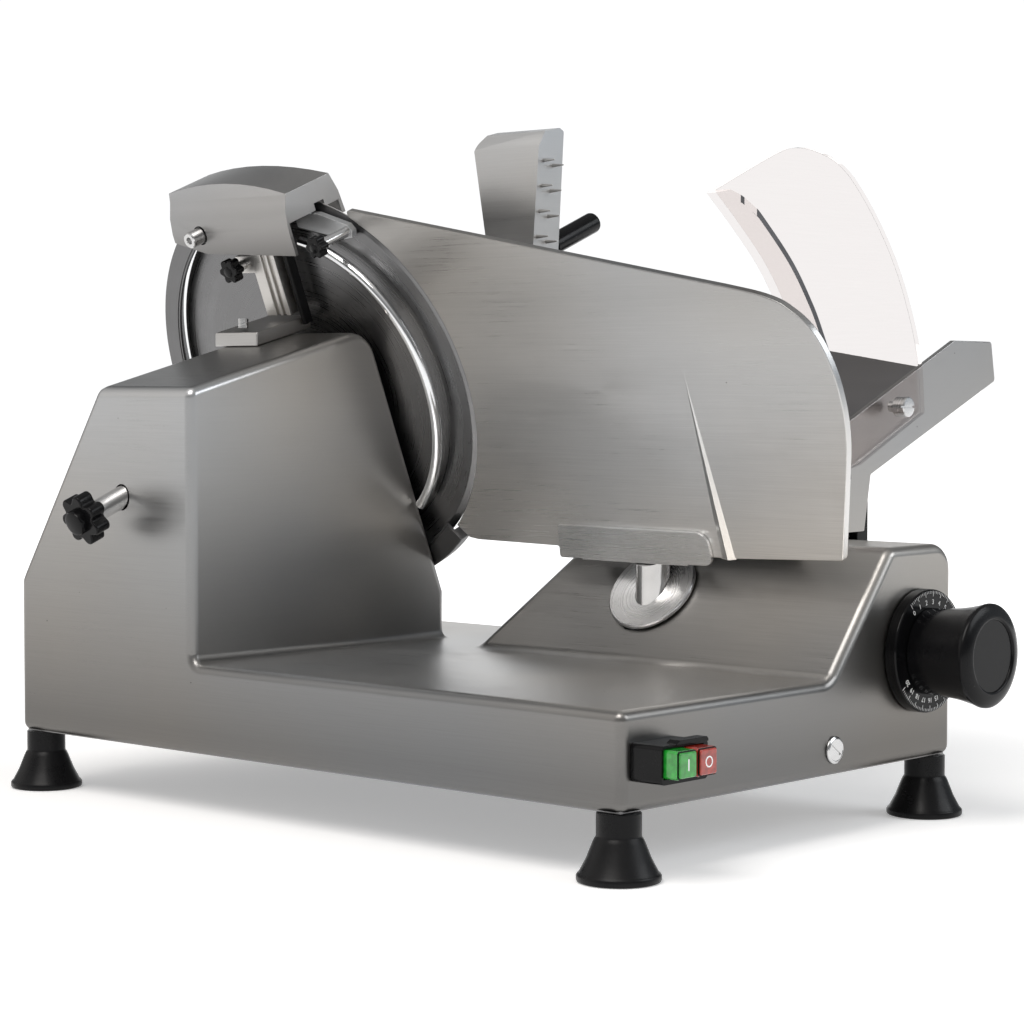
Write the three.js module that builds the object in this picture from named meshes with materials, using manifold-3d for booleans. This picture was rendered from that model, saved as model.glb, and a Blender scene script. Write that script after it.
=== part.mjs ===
// Deli meat slicer: a gravity-feed slicer on a pressed steel base, with a tilted 300 mm class blade.
// Millimetres, +Z up. X runs along the operator's side, Y from the operator's side to the back.
import * as THREE from "three";
import { mergeVertices } from "three/addons/utils/BufferGeometryUtils.js";
import Module from "manifold-3d";

const wasm = await Module();
wasm.setup();

// ---- driving dimensions ----
const GAP = 0.3; // clearance between touching pieces
const SHEET = 3; // wall of the pressed shell
const BASE = { width: 370, length: 600, bottom: 44, deck: 109 };
const TOWER = { front: 401, roofZ: 306.4, roofSlope: 0.2568, backRoofY: 506, backFootZ: 159.5, kneeZ: 146 };
const RAMP = { footX: 222, topX: 293, topZ: 196, footY: 331, topY: 270 };
const FOOT = { inset: 13.5, neckR: 14.5, footR: 27, neckZ: 28 };
const TILT = THREE.MathUtils.degToRad(22); // the blade plane leans back by this much
const WALL_A = 299.4; // distance of the tower's slanted face along the blade axis
const BLADE = { y: 478, b: 210, r: 155, back: 304.5, edge: 311, bore: 26 };
const RING = { outer: 168.5, lip: 151, bore: 158.5, start: 229.5, end: 426 };
const GUIDE_R = 127; // slice deflector's arc
const GAUGE = { back: 305, front: 311, arcR: 157.2, travel: 12 };
const POST = { x: 264, y: 190, r: 13, top: 69.4 };
const MOTOR = { y: 500, b: 95, r: 46, pulleyR: 22 };
const PULLEY_R = 50;
const TRAY = { floor: 105, thick: 5, near: 84, far: 330, start: 322 };
const PLUNGER = [526.5, 348]; // the grinding stone's axis, in the tilted frame's Y and Z
const TRIM = [395, 336.5]; // the trim knob's axis, in the same two
const LOCK = { y: 504.8, b: 317.9, face: 285 };
const CAP = { middle: 492, halfLength: 66, back: 270, front: 332, topNear: 375, topFar: 381, crown: 385.5 };
const KNOB_AXIS = { x: 327, z: 122 };
const RAIL = { x: 345, z: 76, r: 9 };
const GUARD_EDGE = [ // the clear guard's inner edge, in base X and Z, from the bottom up
  [311, 240], [308, 262], [304, 285], [298, 304], [292, 317], [282, 333.5], [270, 354], [261.6, 366],
  [246.4, 385], [230.3, 401], [205.4, 421.8], [182.2, 439.8],
];
const GUARD_CROWN = [ // its outer edge, over the top and down
  [182.2, 439.8], [219.7, 455.6], [259.5, 471.6], [279.3, 476.3], [301.9, 476.3], [326.1, 471.4],
  [343.4, 464], [358.4, 453.2], [378.9, 433.8], [399.7, 409.5], [415.6, 385.6], [429.1, 358.9],
  [437.4, 337.2], [442, 318],
  [444.8, 287.6],
];
const PUSHER = { rodY: 342, rodB: 124, rodR: 7, front: 300 };

// ---- colours ----
const PAINTS = {
  steel: [0x9c9a96, 0.36, 1],
  darkSteel: [0x6d6f70, 0.4, 1],
  chrome: [0xd5d7d8, 0.1, 1],
  castGrey: [0xb4b6b8, 0.45, 0.6],
  black: [0x0d0d0e, 0.28, 0],
  rubber: [0x101010, 0.45, 0],
  green: [0x1fae3c, 0.25, 0],
  red: [0xb5281c, 0.25, 0],
  stone: [0xa9a08f, 0.95, 0],
};

// ---- frames ----
const root = new THREE.Group();
const upright = new THREE.Group(); // base frame
const tilted = new THREE.Group(); // local X is the blade axis, local Z runs up the blade plane
tilted.rotation.y = -TILT;
root.add(upright, tilted);

function piece(frame, name, paint, geometry) {
  const [color, roughness, metalness] = PAINTS[paint];
  const mesh = new THREE.Mesh(geometry, new THREE.MeshStandardMaterial({ color, roughness, metalness }));
  mesh.name = name;
  frame.add(mesh);
  return mesh;
}

// ---- solids ----
function toSolid(geometry) {
  const bare = geometry.clone();
  bare.deleteAttribute("normal");
  bare.deleteAttribute("uv");
  const merged = mergeVertices(bare, 1e-4);
  return new wasm.Manifold(
    new wasm.Mesh({
      numProp: 3,
      vertProperties: new Float32Array(merged.attributes.position.array),
      triVerts: new Uint32Array(merged.index.array),
    }),
  );
}

function toGeometry(solid) {
  const { numProp, vertProperties, triVerts } = solid.getMesh();
  const count = vertProperties.length / numProp;
  const positions = new Float32Array(count * 3);
  for (let i = 0; i < count; i++) {
    positions.set(vertProperties.subarray(i * numProp, i * numProp + 3), i * 3);
  }
  const geometry = new THREE.BufferGeometry();
  geometry.setAttribute("position", new THREE.BufferAttribute(positions, 3));
  geometry.setIndex(new THREE.BufferAttribute(triVerts, 1));
  geometry.computeVertexNormals();
  return geometry;
}

const join = (first, ...rest) => toGeometry(rest.reduce((sum, g) => sum.add(toSolid(g)), toSolid(first)));
const cut = (first, ...rest) =>
  toGeometry(rest.reduce((left, g) => left.subtract(toSolid(g)), toSolid(first)));
const common = (first, ...rest) =>
  toGeometry(rest.reduce((left, g) => left.intersect(toSolid(g)), toSolid(first)));

function block([x0, y0, z0], [x1, y1, z1]) {
  const box = new THREE.BoxGeometry(x1 - x0, y1 - y0, z1 - z0);
  return box.translate((x0 + x1) / 2, (y0 + y1) / 2, (z0 + z1) / 2);
}

// A closed outline through [u, v, radius] corners, where a radius rounds its corner with an arc.
function outline(corners) {
  const shape = new THREE.Shape();
  corners.forEach(([u, v, radius = 0], i) => {
    const corner = new THREE.Vector2(u, v);
    const before = new THREE.Vector2(...corners.at(i - 1).slice(0, 2));
    const after = new THREE.Vector2(...corners[(i + 1) % corners.length].slice(0, 2));
    const toBefore = before.sub(corner).normalize();
    const toAfter = after.sub(corner).normalize();
    const half = Math.acos(THREE.MathUtils.clamp(toBefore.dot(toAfter), -1, 1)) / 2;
    const reach = radius / Math.tan(half);
    const start = corner.clone().addScaledVector(toBefore, reach);
    const draw = i ? "lineTo" : "moveTo";
    shape[draw](start.x, start.y);
    if (!radius) return;
    const bisector = toBefore.clone().add(toAfter).normalize();
    const centre = corner.clone().addScaledVector(bisector, radius / Math.sin(half));
    const end = corner.clone().addScaledVector(toAfter, reach);
    const turn = toBefore.cross(toAfter) > 0; // a clockwise arc on a left-hand corner
    const angle = (p) => Math.atan2(p.y - centre.y, p.x - centre.x);
    shape.absarc(centre.x, centre.y, radius, angle(start), angle(end), turn);
  });
  return shape;
}

// Extrudes an outline drawn in two of the axes along the third, from low to high.
const DRAWN_AXES = {
  y: new THREE.Matrix4().set(1, 0, 0, 0, 0, 0, -1, 0, 0, 1, 0, 0, 0, 0, 0, 1), // outline in X and Z
  x: new THREE.Matrix4().set(0, 0, 1, 0, 1, 0, 0, 0, 0, 1, 0, 0, 0, 0, 0, 1), // outline in Y and Z
  z: new THREE.Matrix4(), // outline in X and Y
};
function extrude(along, corners, low, high, curveSegments = 6) {
  const shape = Array.isArray(corners) ? outline(corners) : corners;
  const made = new THREE.ExtrudeGeometry(shape, { depth: high - low, bevelEnabled: false, curveSegments });
  made.applyMatrix4(DRAWN_AXES[along]);
  const shift = { x: [low, 0, 0], y: [0, high, 0], z: [0, 0, low] }[along];
  return made.translate(...shift);
}

// Revolves [radius, distance] points about a line parallel to an axis; the profile closes on itself.
function revolve(along, profile, [p, q] = [0, 0], segments = 32) {
  const points = profile.map(([r, h]) => new THREE.Vector2(r, h));
  const touchesAxis = points.some((point) => point.x === 0);
  if (!touchesAxis) points.push(points[0].clone());
  const made = new THREE.LatheGeometry(points, segments);
  if (along === "x") made.rotateZ(-Math.PI / 2).translate(0, p, q);
  if (along === "y") made.translate(p, 0, q);
  if (along === "z") made.rotateX(Math.PI / 2).translate(p, q, 0);
  return outward(made);
}

function outward(geometry) {
  const solid = toSolid(geometry);
  if (solid.volume() > 0) return geometry;
  const flipped = geometry.index.array;
  for (let i = 0; i < flipped.length; i += 3) {
    [flipped[i + 1], flipped[i + 2]] = [flipped[i + 2], flipped[i + 1]];
  }
  return geometry;
}

const rod = (along, radius, low, high, place, segments = 24) =>
  revolve(along, [[0, low], [radius, low], [radius, high], [0, high]], place, segments);
const tube = (along, outer, inner, low, high, place, segments = 32) =>
  revolve(along, [[inner, low], [outer, low], [outer, high], [inner, high]], place, segments);

// A star knob about the local X axis: a hub and a ring of lobes.
function starKnob(radius, lobes, low, high, place) {
  const shape = new THREE.Shape();
  const steps = lobes * 8;
  for (let i = 0; i < steps; i++) {
    const turn = (i / steps) * 2 * Math.PI;
    const r = radius * (0.87 + 0.13 * Math.cos(lobes * turn));
    const draw = i ? "lineTo" : "moveTo";
    shape[draw](place[0] + r * Math.cos(turn), place[1] + r * Math.sin(turn));
  }
  return extrude("x", shape, low, high);
}

// ---- points in the tilted frame, as base-frame X and Z ----
const baseX = (a, b) => a * Math.cos(TILT) - b * Math.sin(TILT);
const baseZ = (a, b) => a * Math.sin(TILT) + b * Math.cos(TILT);
const heightAt = (x, b) => (b + x * Math.sin(TILT)) / Math.cos(TILT); // base Z of a level b above X

// ---- base shell ----
const slantX = (z, inset) => (WALL_A - inset - z * Math.sin(TILT)) / Math.cos(TILT);

function towerSolid(inset, floor) {
  const roof = (x) => TOWER.roofZ - inset + TOWER.roofSlope * x;
  const cornerX = (WALL_A - inset - (TOWER.roofZ - inset) * Math.sin(TILT))
    / (Math.cos(TILT) + TOWER.roofSlope * Math.sin(TILT));
  const kneeX = slantX(TOWER.kneeZ, inset);
  const body = extrude("y", [
    [inset, floor], [kneeX, floor], [kneeX, TOWER.kneeZ],
    [cornerX, roof(cornerX), Math.max(25 - inset, 2)], [inset, roof(inset)],
  ], TOWER.front + inset, BASE.length - inset);
  const slope = (TOWER.roofZ - TOWER.backFootZ) / (BASE.length - TOWER.backRoofY);
  const lift = 200;
  const wedge = extrude("x", [
    [BASE.length + 1, TOWER.backFootZ - inset - slope],
    [BASE.length + 1, TOWER.roofZ + lift],
    [TOWER.backRoofY - lift / slope, TOWER.roofZ + lift - inset],
  ], -1, BASE.width);
  const shear = new THREE.Matrix4().set(1, 0, 0, 0, 0, 1, 0, 0, TOWER.roofSlope, 0, 1, 0, 0, 0, 0, 1);
  return cut(body, wedge.applyMatrix4(shear));
}

function rampSolid(inset, floor) {
  const footX = RAMP.footX + inset * 1.2;
  const body = extrude("y", [
    [footX, floor], [BASE.width - inset, floor],
    [BASE.width - inset, RAMP.topZ - inset, 20 - inset], [RAMP.topX + inset * 0.6, RAMP.topZ - inset],
    [footX, BASE.deck],
  ], inset, RAMP.footY);
  const top = 30;
  const slope = (RAMP.topZ - BASE.deck) / (RAMP.footY - RAMP.topY);
  const footY = RAMP.footY - inset * 1.2;
  const wedge = extrude("x", [
    [footY, BASE.deck], [footY + 60, BASE.deck], [footY + 60, RAMP.topZ + top],
    [footY - (RAMP.topZ + top - BASE.deck) / slope, RAMP.topZ + top],
  ], 0, BASE.width + 1);
  const tail = block([0, footY, floor - 1], [BASE.width + 1, RAMP.footY + 1, BASE.deck + 1]);
  return inset ? cut(body, wedge, tail) : cut(body, wedge);
}

function baseShell() {
  const plinth = block([0, 0, BASE.bottom], [BASE.width, BASE.length, BASE.deck]);
  const outside = join(plinth, towerSolid(0, BASE.bottom), rampSolid(0, BASE.bottom + 10));
  const room = block(
    [SHEET, SHEET, BASE.bottom - 1],
    [BASE.width - SHEET, BASE.length - SHEET, BASE.deck - SHEET],
  );
  const inside = join(room, towerSolid(SHEET, BASE.bottom + 20), rampSolid(SHEET, BASE.bottom + 20));
  const shaftHole = rod("y", 8, -1, 10, [KNOB_AXIS.x, KNOB_AXIS.z]);
  const armSlot = block([BASE.width - SHEET - 1, 80, 62], [BASE.width + 1, 440, 90]);
  const slotEnd = POST.x - POST.r - GAUGE.travel * Math.cos(TILT) - 0.4;
  const slotSide = POST.r + 2;
  const postSlot = extrude("z", [
    [slotEnd + 6, POST.y - slotSide], [POST.x + slotSide, POST.y - slotSide],
    [POST.x + slotSide, POST.y + slotSide], [slotEnd + 6, POST.y + slotSide],
    [slotEnd, POST.y + 7], [slotEnd, POST.y - 7],
  ], BASE.deck - 10, RAMP.topZ + 5);
  const wireHole = block([18, -1, 70], [42, SHEET + 1, 86]);
  const glandHole = rod("y", 8, BASE.length - SHEET - 1, BASE.length + 1, [80, 78]);
  const shell = cut(outside, inside, shaftHole, armSlot, postSlot, wireHole, glandHole);
  const hubHole = rod("x", 28.5, WALL_A - 12, WALL_A + 20, [BLADE.y, BLADE.b], 40);
  const rodHole = rod("x", 9, 60, 100, [BLADE.y, BLADE.b]);
  return cut(shell, hubHole.rotateY(-TILT), rodHole.rotateY(-TILT));
}

function base() {
  piece(upright, "base_shell", "steel", baseShell());
  piece(upright, "bottom_plate", "darkSteel", block(
    [SHEET + 1, SHEET + 1, BASE.bottom + GAP],
    [BASE.width - SHEET - 1, BASE.length - SHEET - 1, BASE.bottom + SHEET],
  ));
  const footProfile = [
    [0, 0], [FOOT.footR - 1, 0], [FOOT.footR, 1.2], [FOOT.footR, 4], [FOOT.footR - 2, 6],
    [FOOT.neckR + 1, FOOT.neckZ], [FOOT.neckR, FOOT.neckZ + 1], [FOOT.neckR, BASE.bottom - GAP],
    [0, BASE.bottom - GAP],
  ];
  const near = FOOT.inset;
  const farX = BASE.width - FOOT.inset;
  const farY = BASE.length - FOOT.inset;
  for (const [name, x, y] of [
    ["foot_front_left", near, near], ["foot_front_right", farX, near],
    ["foot_back_left", near, farY], ["foot_back_right", farX, farY],
  ]) {
    piece(upright, name, "rubber", revolve("z", footProfile, [x, y], 20));
  }
  piece(upright, "cable_gland", "black", revolve("y", [
    [4, BASE.length - SHEET - 6], [7.5, BASE.length - SHEET - 6], [7.5, BASE.length + GAP],
    [12, BASE.length + GAP], [12, BASE.length + 8], [8, BASE.length + 16], [4, BASE.length + 16],
  ], [80, 78], 20));
  piece(upright, "control_box", "black", block([70, 30, BASE.bottom + SHEET + GAP], [150, 110, 92]));
}

// ---- switch on the operator's side ----
function switchGroup() {
  const housing = cut(
    join(
      extrude("y", [[8, 64.5, 3], [54, 64.5, 3], [54, 89, 3], [8, 89, 3]], -25, -GAP, 3),
      extrude("y", [[22, 88], [54, 88], [54, 89.6], [52.6, 91], [26, 91], [22.5, 89]], -25.5, -17),
    ),
    block([10, -26, 68], [29.3, -15, 87]),
    block([30.3, -26, 68], [49.6, -15, 87]),
    block([18.5, -16, 71], [41.5, 1, 85]),
  );
  piece(upright, "switch_housing", "black", housing);
  const buttonAt = (x0) => extrude("y", [
    [x0, 68.5, 1.5], [x0 + 18.3, 68.5, 1.5], [x0 + 18.3, 86.5, 1.5], [x0, 86.5, 1.5],
  ], -37, -19, 2);
  piece(upright, "start_button", "green", buttonAt(10.5));
  piece(upright, "stop_button", "red", buttonAt(30.8));
  piece(upright, "front_plug", "chrome", cut(
    revolve("y", [[0, -GAP], [9.5, -GAP], [9.5, -1.6], [8, -2.4], [0, -2.4]], [225, 61.7], 24),
    block([217, -3, 60.7], [233, -1.4, 62.7]),
  ));
}

// ---- thickness control ----
function thicknessControl() {
  const place = [KNOB_AXIS.x, KNOB_AXIS.z];
  piece(upright, "dial_ring", "black", revolve("y", [
    [10, -1], [43.6, -1], [43.6, -9], [42.6, -10], [10, -10],
  ], place, 40));
  piece(upright, "index_knob", "black", revolve("y", [
    [0, -10.3], [30.5, -10.3], [30.4, -16], [32, -36], [34.6, -50], [36.5, -56.8], [35.6, -59],
    [30, -61.6], [26, -62], [25, -60.6], [0, -60.6],
  ], place, 32));
  piece(upright, "index_shaft", "darkSteel", join(
    rod("y", 6, -9.9, 130, place, 20),
    rod("y", 20, 118, 130, [KNOB_AXIS.x + 3, KNOB_AXIS.z], 24),
  ));
}

// ---- gauge plate and what carries it ----
function gaugePlateShape() {
  const arc = (degrees) => {
    const turn = THREE.MathUtils.degToRad(degrees);
    return [BLADE.y + GAUGE.arcR * Math.cos(turn), BLADE.b + GAUGE.arcR * Math.sin(turn)];
  };
  const corners = [
    [-5, 140], [5, 106.7], [13, 79.6, 3], [106, 76.5], [272.5, 76.4], [273.5, 79], [355, 80.5, 3],
    [364, 82, 3], [373, 91], arc(228.8),
  ];
  for (let degrees = 221; degrees >= 125; degrees -= 8) {
    corners.push(arc(degrees));
  }
  corners.push([397, 346], [397, 350.9], [60, 282.2], [34, 276.2], [17.7, 270.2], [9, 264.2], [1.5, 257.6],
    [-4.8, 249.5], [-9.6, 239.5], [-13, 227.6], [-15.3, 214.5], [-16, 199.5], [-15.3, 185], [-12, 165]);
  return outline(corners);
}

function gauge() {
  const plate = extrude("x", gaugePlateShape(), GAUGE.back, GAUGE.front, 8);
  const rib = extrude("x", [[119.5, 75.9], [106, 75.9], [112, 237]], GAUGE.back - 2.2, GAUGE.back + 1);
  piece(tilted, "gauge_plate", "steel", join(plate, rib));
  const leaf = extrude("x", [[126, 71, 8], [272, 71, 2], [266, 97.9, 2], [126, 97.1, 10]],
    GAUGE.back - 2.8, GAUGE.back - GAP);
  const shelf = block([GAUGE.back - 2.8, 150, 70], [GAUGE.front + 8, 250, 73.2]);
  piece(tilted, "gauge_bracket", "steel", cut(join(leaf, shelf), block([290, 100, 60], [340, 126.5, 78])));
  const post = cut(
    rod("z", POST.r, 88, 230, [POST.x, POST.y], 28),
    block([200, 100, POST.top], [400, 300, POST.top + 200]).rotateY(-TILT),
  );
  piece(upright, "gauge_post", "chrome", post);
  const slopeAngle = Math.atan2(RAMP.topZ - BASE.deck, RAMP.topX - RAMP.footX);
  const rampZ = BASE.deck + (POST.x - RAMP.footX) * Math.tan(slopeAngle);
  const dish = revolve("z", [[10, 1], [35, 1], [36, 2.5], [34.5, 5], [14, 1.8], [10, 1.8]], [0, 0], 28);
  dish.rotateY(-slopeAngle).translate(POST.x - 2.5, POST.y - 3, rampZ - 2.6);
  piece(upright, "post_rosette", "steel", cut(dish, rod("z", POST.r + GAP, 60, 260, [POST.x, POST.y], 28)));
  const barAxis = [POST.x - 2, 75]; // a point of the guide bar, in base X and Z
  const barA = barAxis[0] * Math.cos(TILT) + barAxis[1] * Math.sin(TILT);
  const barB = barAxis[1] * Math.cos(TILT) - barAxis[0] * Math.sin(TILT);
  piece(tilted, "gauge_guide_bar", "chrome", rod("x", 6, barA - 36, barA + 45, [POST.y, barB], 20));
  piece(tilted, "gauge_slide_block", "castGrey", cut(
    block([barA - 17, POST.y - 22, barB - 12], [barA + 17, POST.y + 22, barB + 21]),
    rod("x", 6 + GAP, barA - 60, barA + 60, [POST.y, barB], 20),
    rod("z", POST.r + GAP, 87.7, 130, [POST.x, POST.y], 28).rotateY(TILT),
  ));
}

// ---- blade unit ----
function bladeUnit() {
  const place = [BLADE.y, BLADE.b];
  piece(tilted, "blade", "chrome", revolve("x", [
    [BLADE.bore, BLADE.back], [118, BLADE.back], [122, BLADE.back + 1.5], [146, BLADE.back + 3.5],
    [BLADE.r, BLADE.edge - 0.6], [BLADE.r, BLADE.edge], [122, BLADE.edge - 2], [BLADE.bore, BLADE.edge - 2],
  ], place, 48));
  piece(tilted, "blade_hub", "castGrey", revolve("x", [
    [9, 190], [16.8, 190], [16.8, 288], [23.5, 289], [23.5, 300], [40, 301], [40, BLADE.back - GAP],
    [BLADE.bore - GAP, BLADE.back - GAP], [BLADE.bore - GAP, BLADE.edge - 1], [9, BLADE.edge - 1],
  ], place, 28));
  piece(tilted, "blade_cover", "steel", revolve("x", [
    [0, 313.5], [112, 313.5], [118, 312], [119, 312.8], [113, 316], [40, 318.5], [0, 318.5],
  ], place, 40));
  const arc = (radius, degrees) => {
    const turn = THREE.MathUtils.degToRad(degrees);
    return [place[0] + radius * Math.cos(turn), place[1] + radius * Math.sin(turn)];
  };
  const band = (outer, inner, low, high) => {
    const corners = [];
    const steps = 30;
    for (let i = 0; i <= steps; i++) {
      corners.push(arc(outer, RING.start + ((RING.end - RING.start) * i) / steps));
    }
    for (let i = steps; i >= 0; i--) {
      corners.push(arc(inner, RING.start + ((RING.end - RING.start) * i) / steps));
    }
    return extrude("x", corners, low, high);
  };
  const back = WALL_A + 0.4;
  piece(tilted, "ring_guard", "steel", join(
    band(RING.outer, RING.lip, back, back + 2.6),
    band(RING.outer, RING.bore, back + 2, 312.5),
  ));
  const wallInside = WALL_A - SHEET - GAP;
  const flange = extrude("x", [
    [place[0] - 58, place[1] - 62, 10], [place[0] + 58, place[1] - 62, 10],
    [place[0] + 46, place[1] + 6, 10], [place[0] + 30, place[1] + 24, 6],
    [place[0] - 30, place[1] + 24, 6], [place[0] - 58, place[1] + 6, 10],
  ], 287, wallInside, 3);
  piece(tilted, "bearing_housing", "castGrey", cut(
    join(rod("x", 28.5, 232, wallInside, place, 36), flange),
    rod("x", 24.3, 231, 300, place, 36),
  ));
  piece(tilted, "front_bearing", "chrome", tube("x", 24, 17.1, 272, 286, place, 32));
  piece(tilted, "rear_bearing", "chrome", tube("x", 24, 17.1, 234, 248, place, 32));
  piece(tilted, "blade_pulley", "castGrey", revolve("x", [
    [17.1, 200], [22, 200], [22, 206], [PULLEY_R + 2, 206], [PULLEY_R + 2, 208], [PULLEY_R, 208],
    [PULLEY_R, 222], [PULLEY_R + 2, 222], [PULLEY_R + 2, 224], [17.1, 224],
  ], place, 28));
  piece(tilted, "tie_rod", "steel", join(
    rod("x", 8, 58, 92, place, 24),
    rod("x", 5.5, 90, 312, place, 20),
  ));
  piece(tilted, "tie_rod_knob", "black", join(
    starKnob(19.5, 7, 42, 55, place),
    revolve("x", [[0, 36], [7, 36], [9.5, 39], [9.5, 57.7], [0, 57.7]], place, 24),
  ));
}

function sliceDeflector() {
  const from = THREE.MathUtils.degToRad(106);
  const to = THREE.MathUtils.degToRad(229.5);
  const a = WALL_A - 5.4;
  const points = [];
  for (let i = 0; i <= 12; i++) {
    const turn = from + ((to - from) * i) / 12;
    points.push(new THREE.Vector3(a, BLADE.y + GUIDE_R * Math.cos(turn), BLADE.b + GUIDE_R * Math.sin(turn)));
  }
  const path = new THREE.CatmullRomCurve3(points);
  const section = new THREE.Shape();
  section.absarc(0, 0, 4, 0, 2 * Math.PI, false);
  const rodAlong = new THREE.ExtrudeGeometry(section, { steps: 24, extrudePath: path, curveSegments: 5 });
  piece(tilted, "slice_deflector", "chrome", rodAlong);
}

// ---- motor and belt, inside the tower ----
function drive() {
  const place = [MOTOR.y, MOTOR.b];
  piece(tilted, "motor_body", "darkSteel", revolve("x", [
    [0, 106], [30, 106], [MOTOR.r - 3, 112], [MOTOR.r, 118], [MOTOR.r, 180], [MOTOR.r - 4, 188],
    [20, 190], [20, 196], [8, 196], [8, 186], [0, 186],
  ], place, 28));
  piece(tilted, "motor_shaft", "chrome", rod("x", 7, 187, 232, place, 20));
  piece(tilted, "motor_pulley", "castGrey", revolve("x", [
    [7.3, 206], [MOTOR.pulleyR + 2, 206], [MOTOR.pulleyR + 2, 208], [MOTOR.pulleyR, 208],
    [MOTOR.pulleyR, 222], [MOTOR.pulleyR + 2, 222], [MOTOR.pulleyR + 2, 224], [7.3, 224],
  ], place, 28));
  piece(tilted, "drive_belt", "rubber", cut(
    extrude("x", beltLoop(3.5), 209, 221, 20),
    extrude("x", beltLoop(0.9), 208, 222, 20),
  ));
}

// The outline round both pulleys, standing off by an amount.
function beltLoop(off) {
  const dy = MOTOR.y - BLADE.y;
  const db = MOTOR.b - BLADE.b;
  const distance = Math.hypot(dy, db);
  const heading = Math.atan2(db, dy);
  const open = Math.acos((PULLEY_R - MOTOR.pulleyR) / distance);
  const shape = new THREE.Shape();
  shape.absarc(MOTOR.y, MOTOR.b, MOTOR.pulleyR + off, heading - open, heading + open, false);
  shape.absarc(BLADE.y, BLADE.b, PULLEY_R + off, heading + open, heading - open + 2 * Math.PI, false);
  shape.closePath();
  return shape;
}

// ---- sharpener ----
function capSolid(inset) {
  const near = CAP.middle - CAP.halfLength + inset;
  const far = CAP.middle + CAP.halfLength - inset;
  const across = new THREE.Shape();
  across.moveTo(near, 328 - inset);
  across.lineTo(near, CAP.topNear - inset);
  const lift = 2 * CAP.crown - (CAP.topNear + CAP.topFar) / 2 - inset;
  across.quadraticCurveTo(CAP.middle, lift, far, CAP.topFar - inset);
  across.lineTo(far, 343 - inset);
  across.lineTo(525, 333 - inset);
  across.closePath();
  const back = CAP.back + inset;
  const front = CAP.front - inset;
  const along = [
    [back, 320 - inset], [front, 320 - inset], [front, 343], [front - 1.5, 360], [front - 11, CAP.crown + 4],
    [back + 10.5, CAP.crown + 4], [back + 7, 374], [back + 2, 362], [back, 350],
  ];
  return common(
    outward(extrude("x", across, CAP.back - 5, CAP.front + 5, 8)),
    extrude("y", along, near - 5, far + 5),
  );
}

function sharpener() {
  const near = CAP.middle - CAP.halfLength;
  const far = CAP.middle + CAP.halfLength;
  const cap = cut(
    capSolid(0),
    capSolid(SHEET),
    block([CAP.back + SHEET, near - 2, 300], [CAP.front - 4, far + 2, 353]),
    block([CAP.back + SHEET, near - 2, 300], [CAP.front + 2, far + 2, 342]),
    block([CAP.back + 27, far - 8, 333], [CAP.back + 45, far + 2, 374]),
    block([BLADE.back - 2, near - 2, 340], [BLADE.edge + 2, near + SHEET + 1, 358.5]),
    rod("x", 7.5, CAP.back - 2, CAP.back + SHEET + 2, PLUNGER, 20),
  );
  piece(tilted, "sharpener_cap", "steel", cap);
  const [trimY, trimB] = TRIM;
  piece(tilted, "sharpener_arm", "castGrey", join(
    // The boss for the trim knob stays clear of the gauge plate's corner as the gauge opens.
    extrude("x", [
      [446, 342], [446, 366], [432, 366], [432, 352], [421, 351.5], [trimY + 6, trimB + 8],
      [trimY - 2.2, trimB + 5], [trimY - 5.4, trimB], [trimY - 4, trimB - 5], [trimY + 5, trimB - 6],
    ], 298, 303.5),
    block([280, 432, 358], [303, 532, 368]),
    cut(
      extrude("y", [[274, 339], [284, 339], [284, 368], [280, 368], [274.5, 357]],
        PLUNGER[0] - 9, PLUNGER[0] + 7),
      rod("x", 6.6, 270, 290, PLUNGER, 20),
    ),
  ));
  piece(tilted, "trim_knob", "black", join(
    starKnob(8.8, 6, 261, 269.5, TRIM),
    rod("x", 4, 269, 297.7, TRIM, 16),
  ));
  piece(tilted, "grind_plunger", "chrome", revolve("x", [
    [0, 262], [2.6, 262], [2.6, 258], [6, 258], [6.3, 260], [6.3, 290], [0, 290],
  ], PLUNGER, 20));
  piece(tilted, "grinding_stone", "stone", revolve("x", [
    [0, 290.3], [5, 290.3], [5, 295], [8.6, 295], [8.6, 301.5], [5.5, 301.5], [5.5, 299], [0, 299],
  ], PLUNGER, 24));
  piece(tilted, "honing_stone", "stone", revolve("x", [
    [0, 312.2], [9, 312.2], [9, 315.6], [4, 315.6], [4, 317.4], [0, 317.4],
  ], [BLADE.y - 8, 360], 20));
  columnParts();
}

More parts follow.
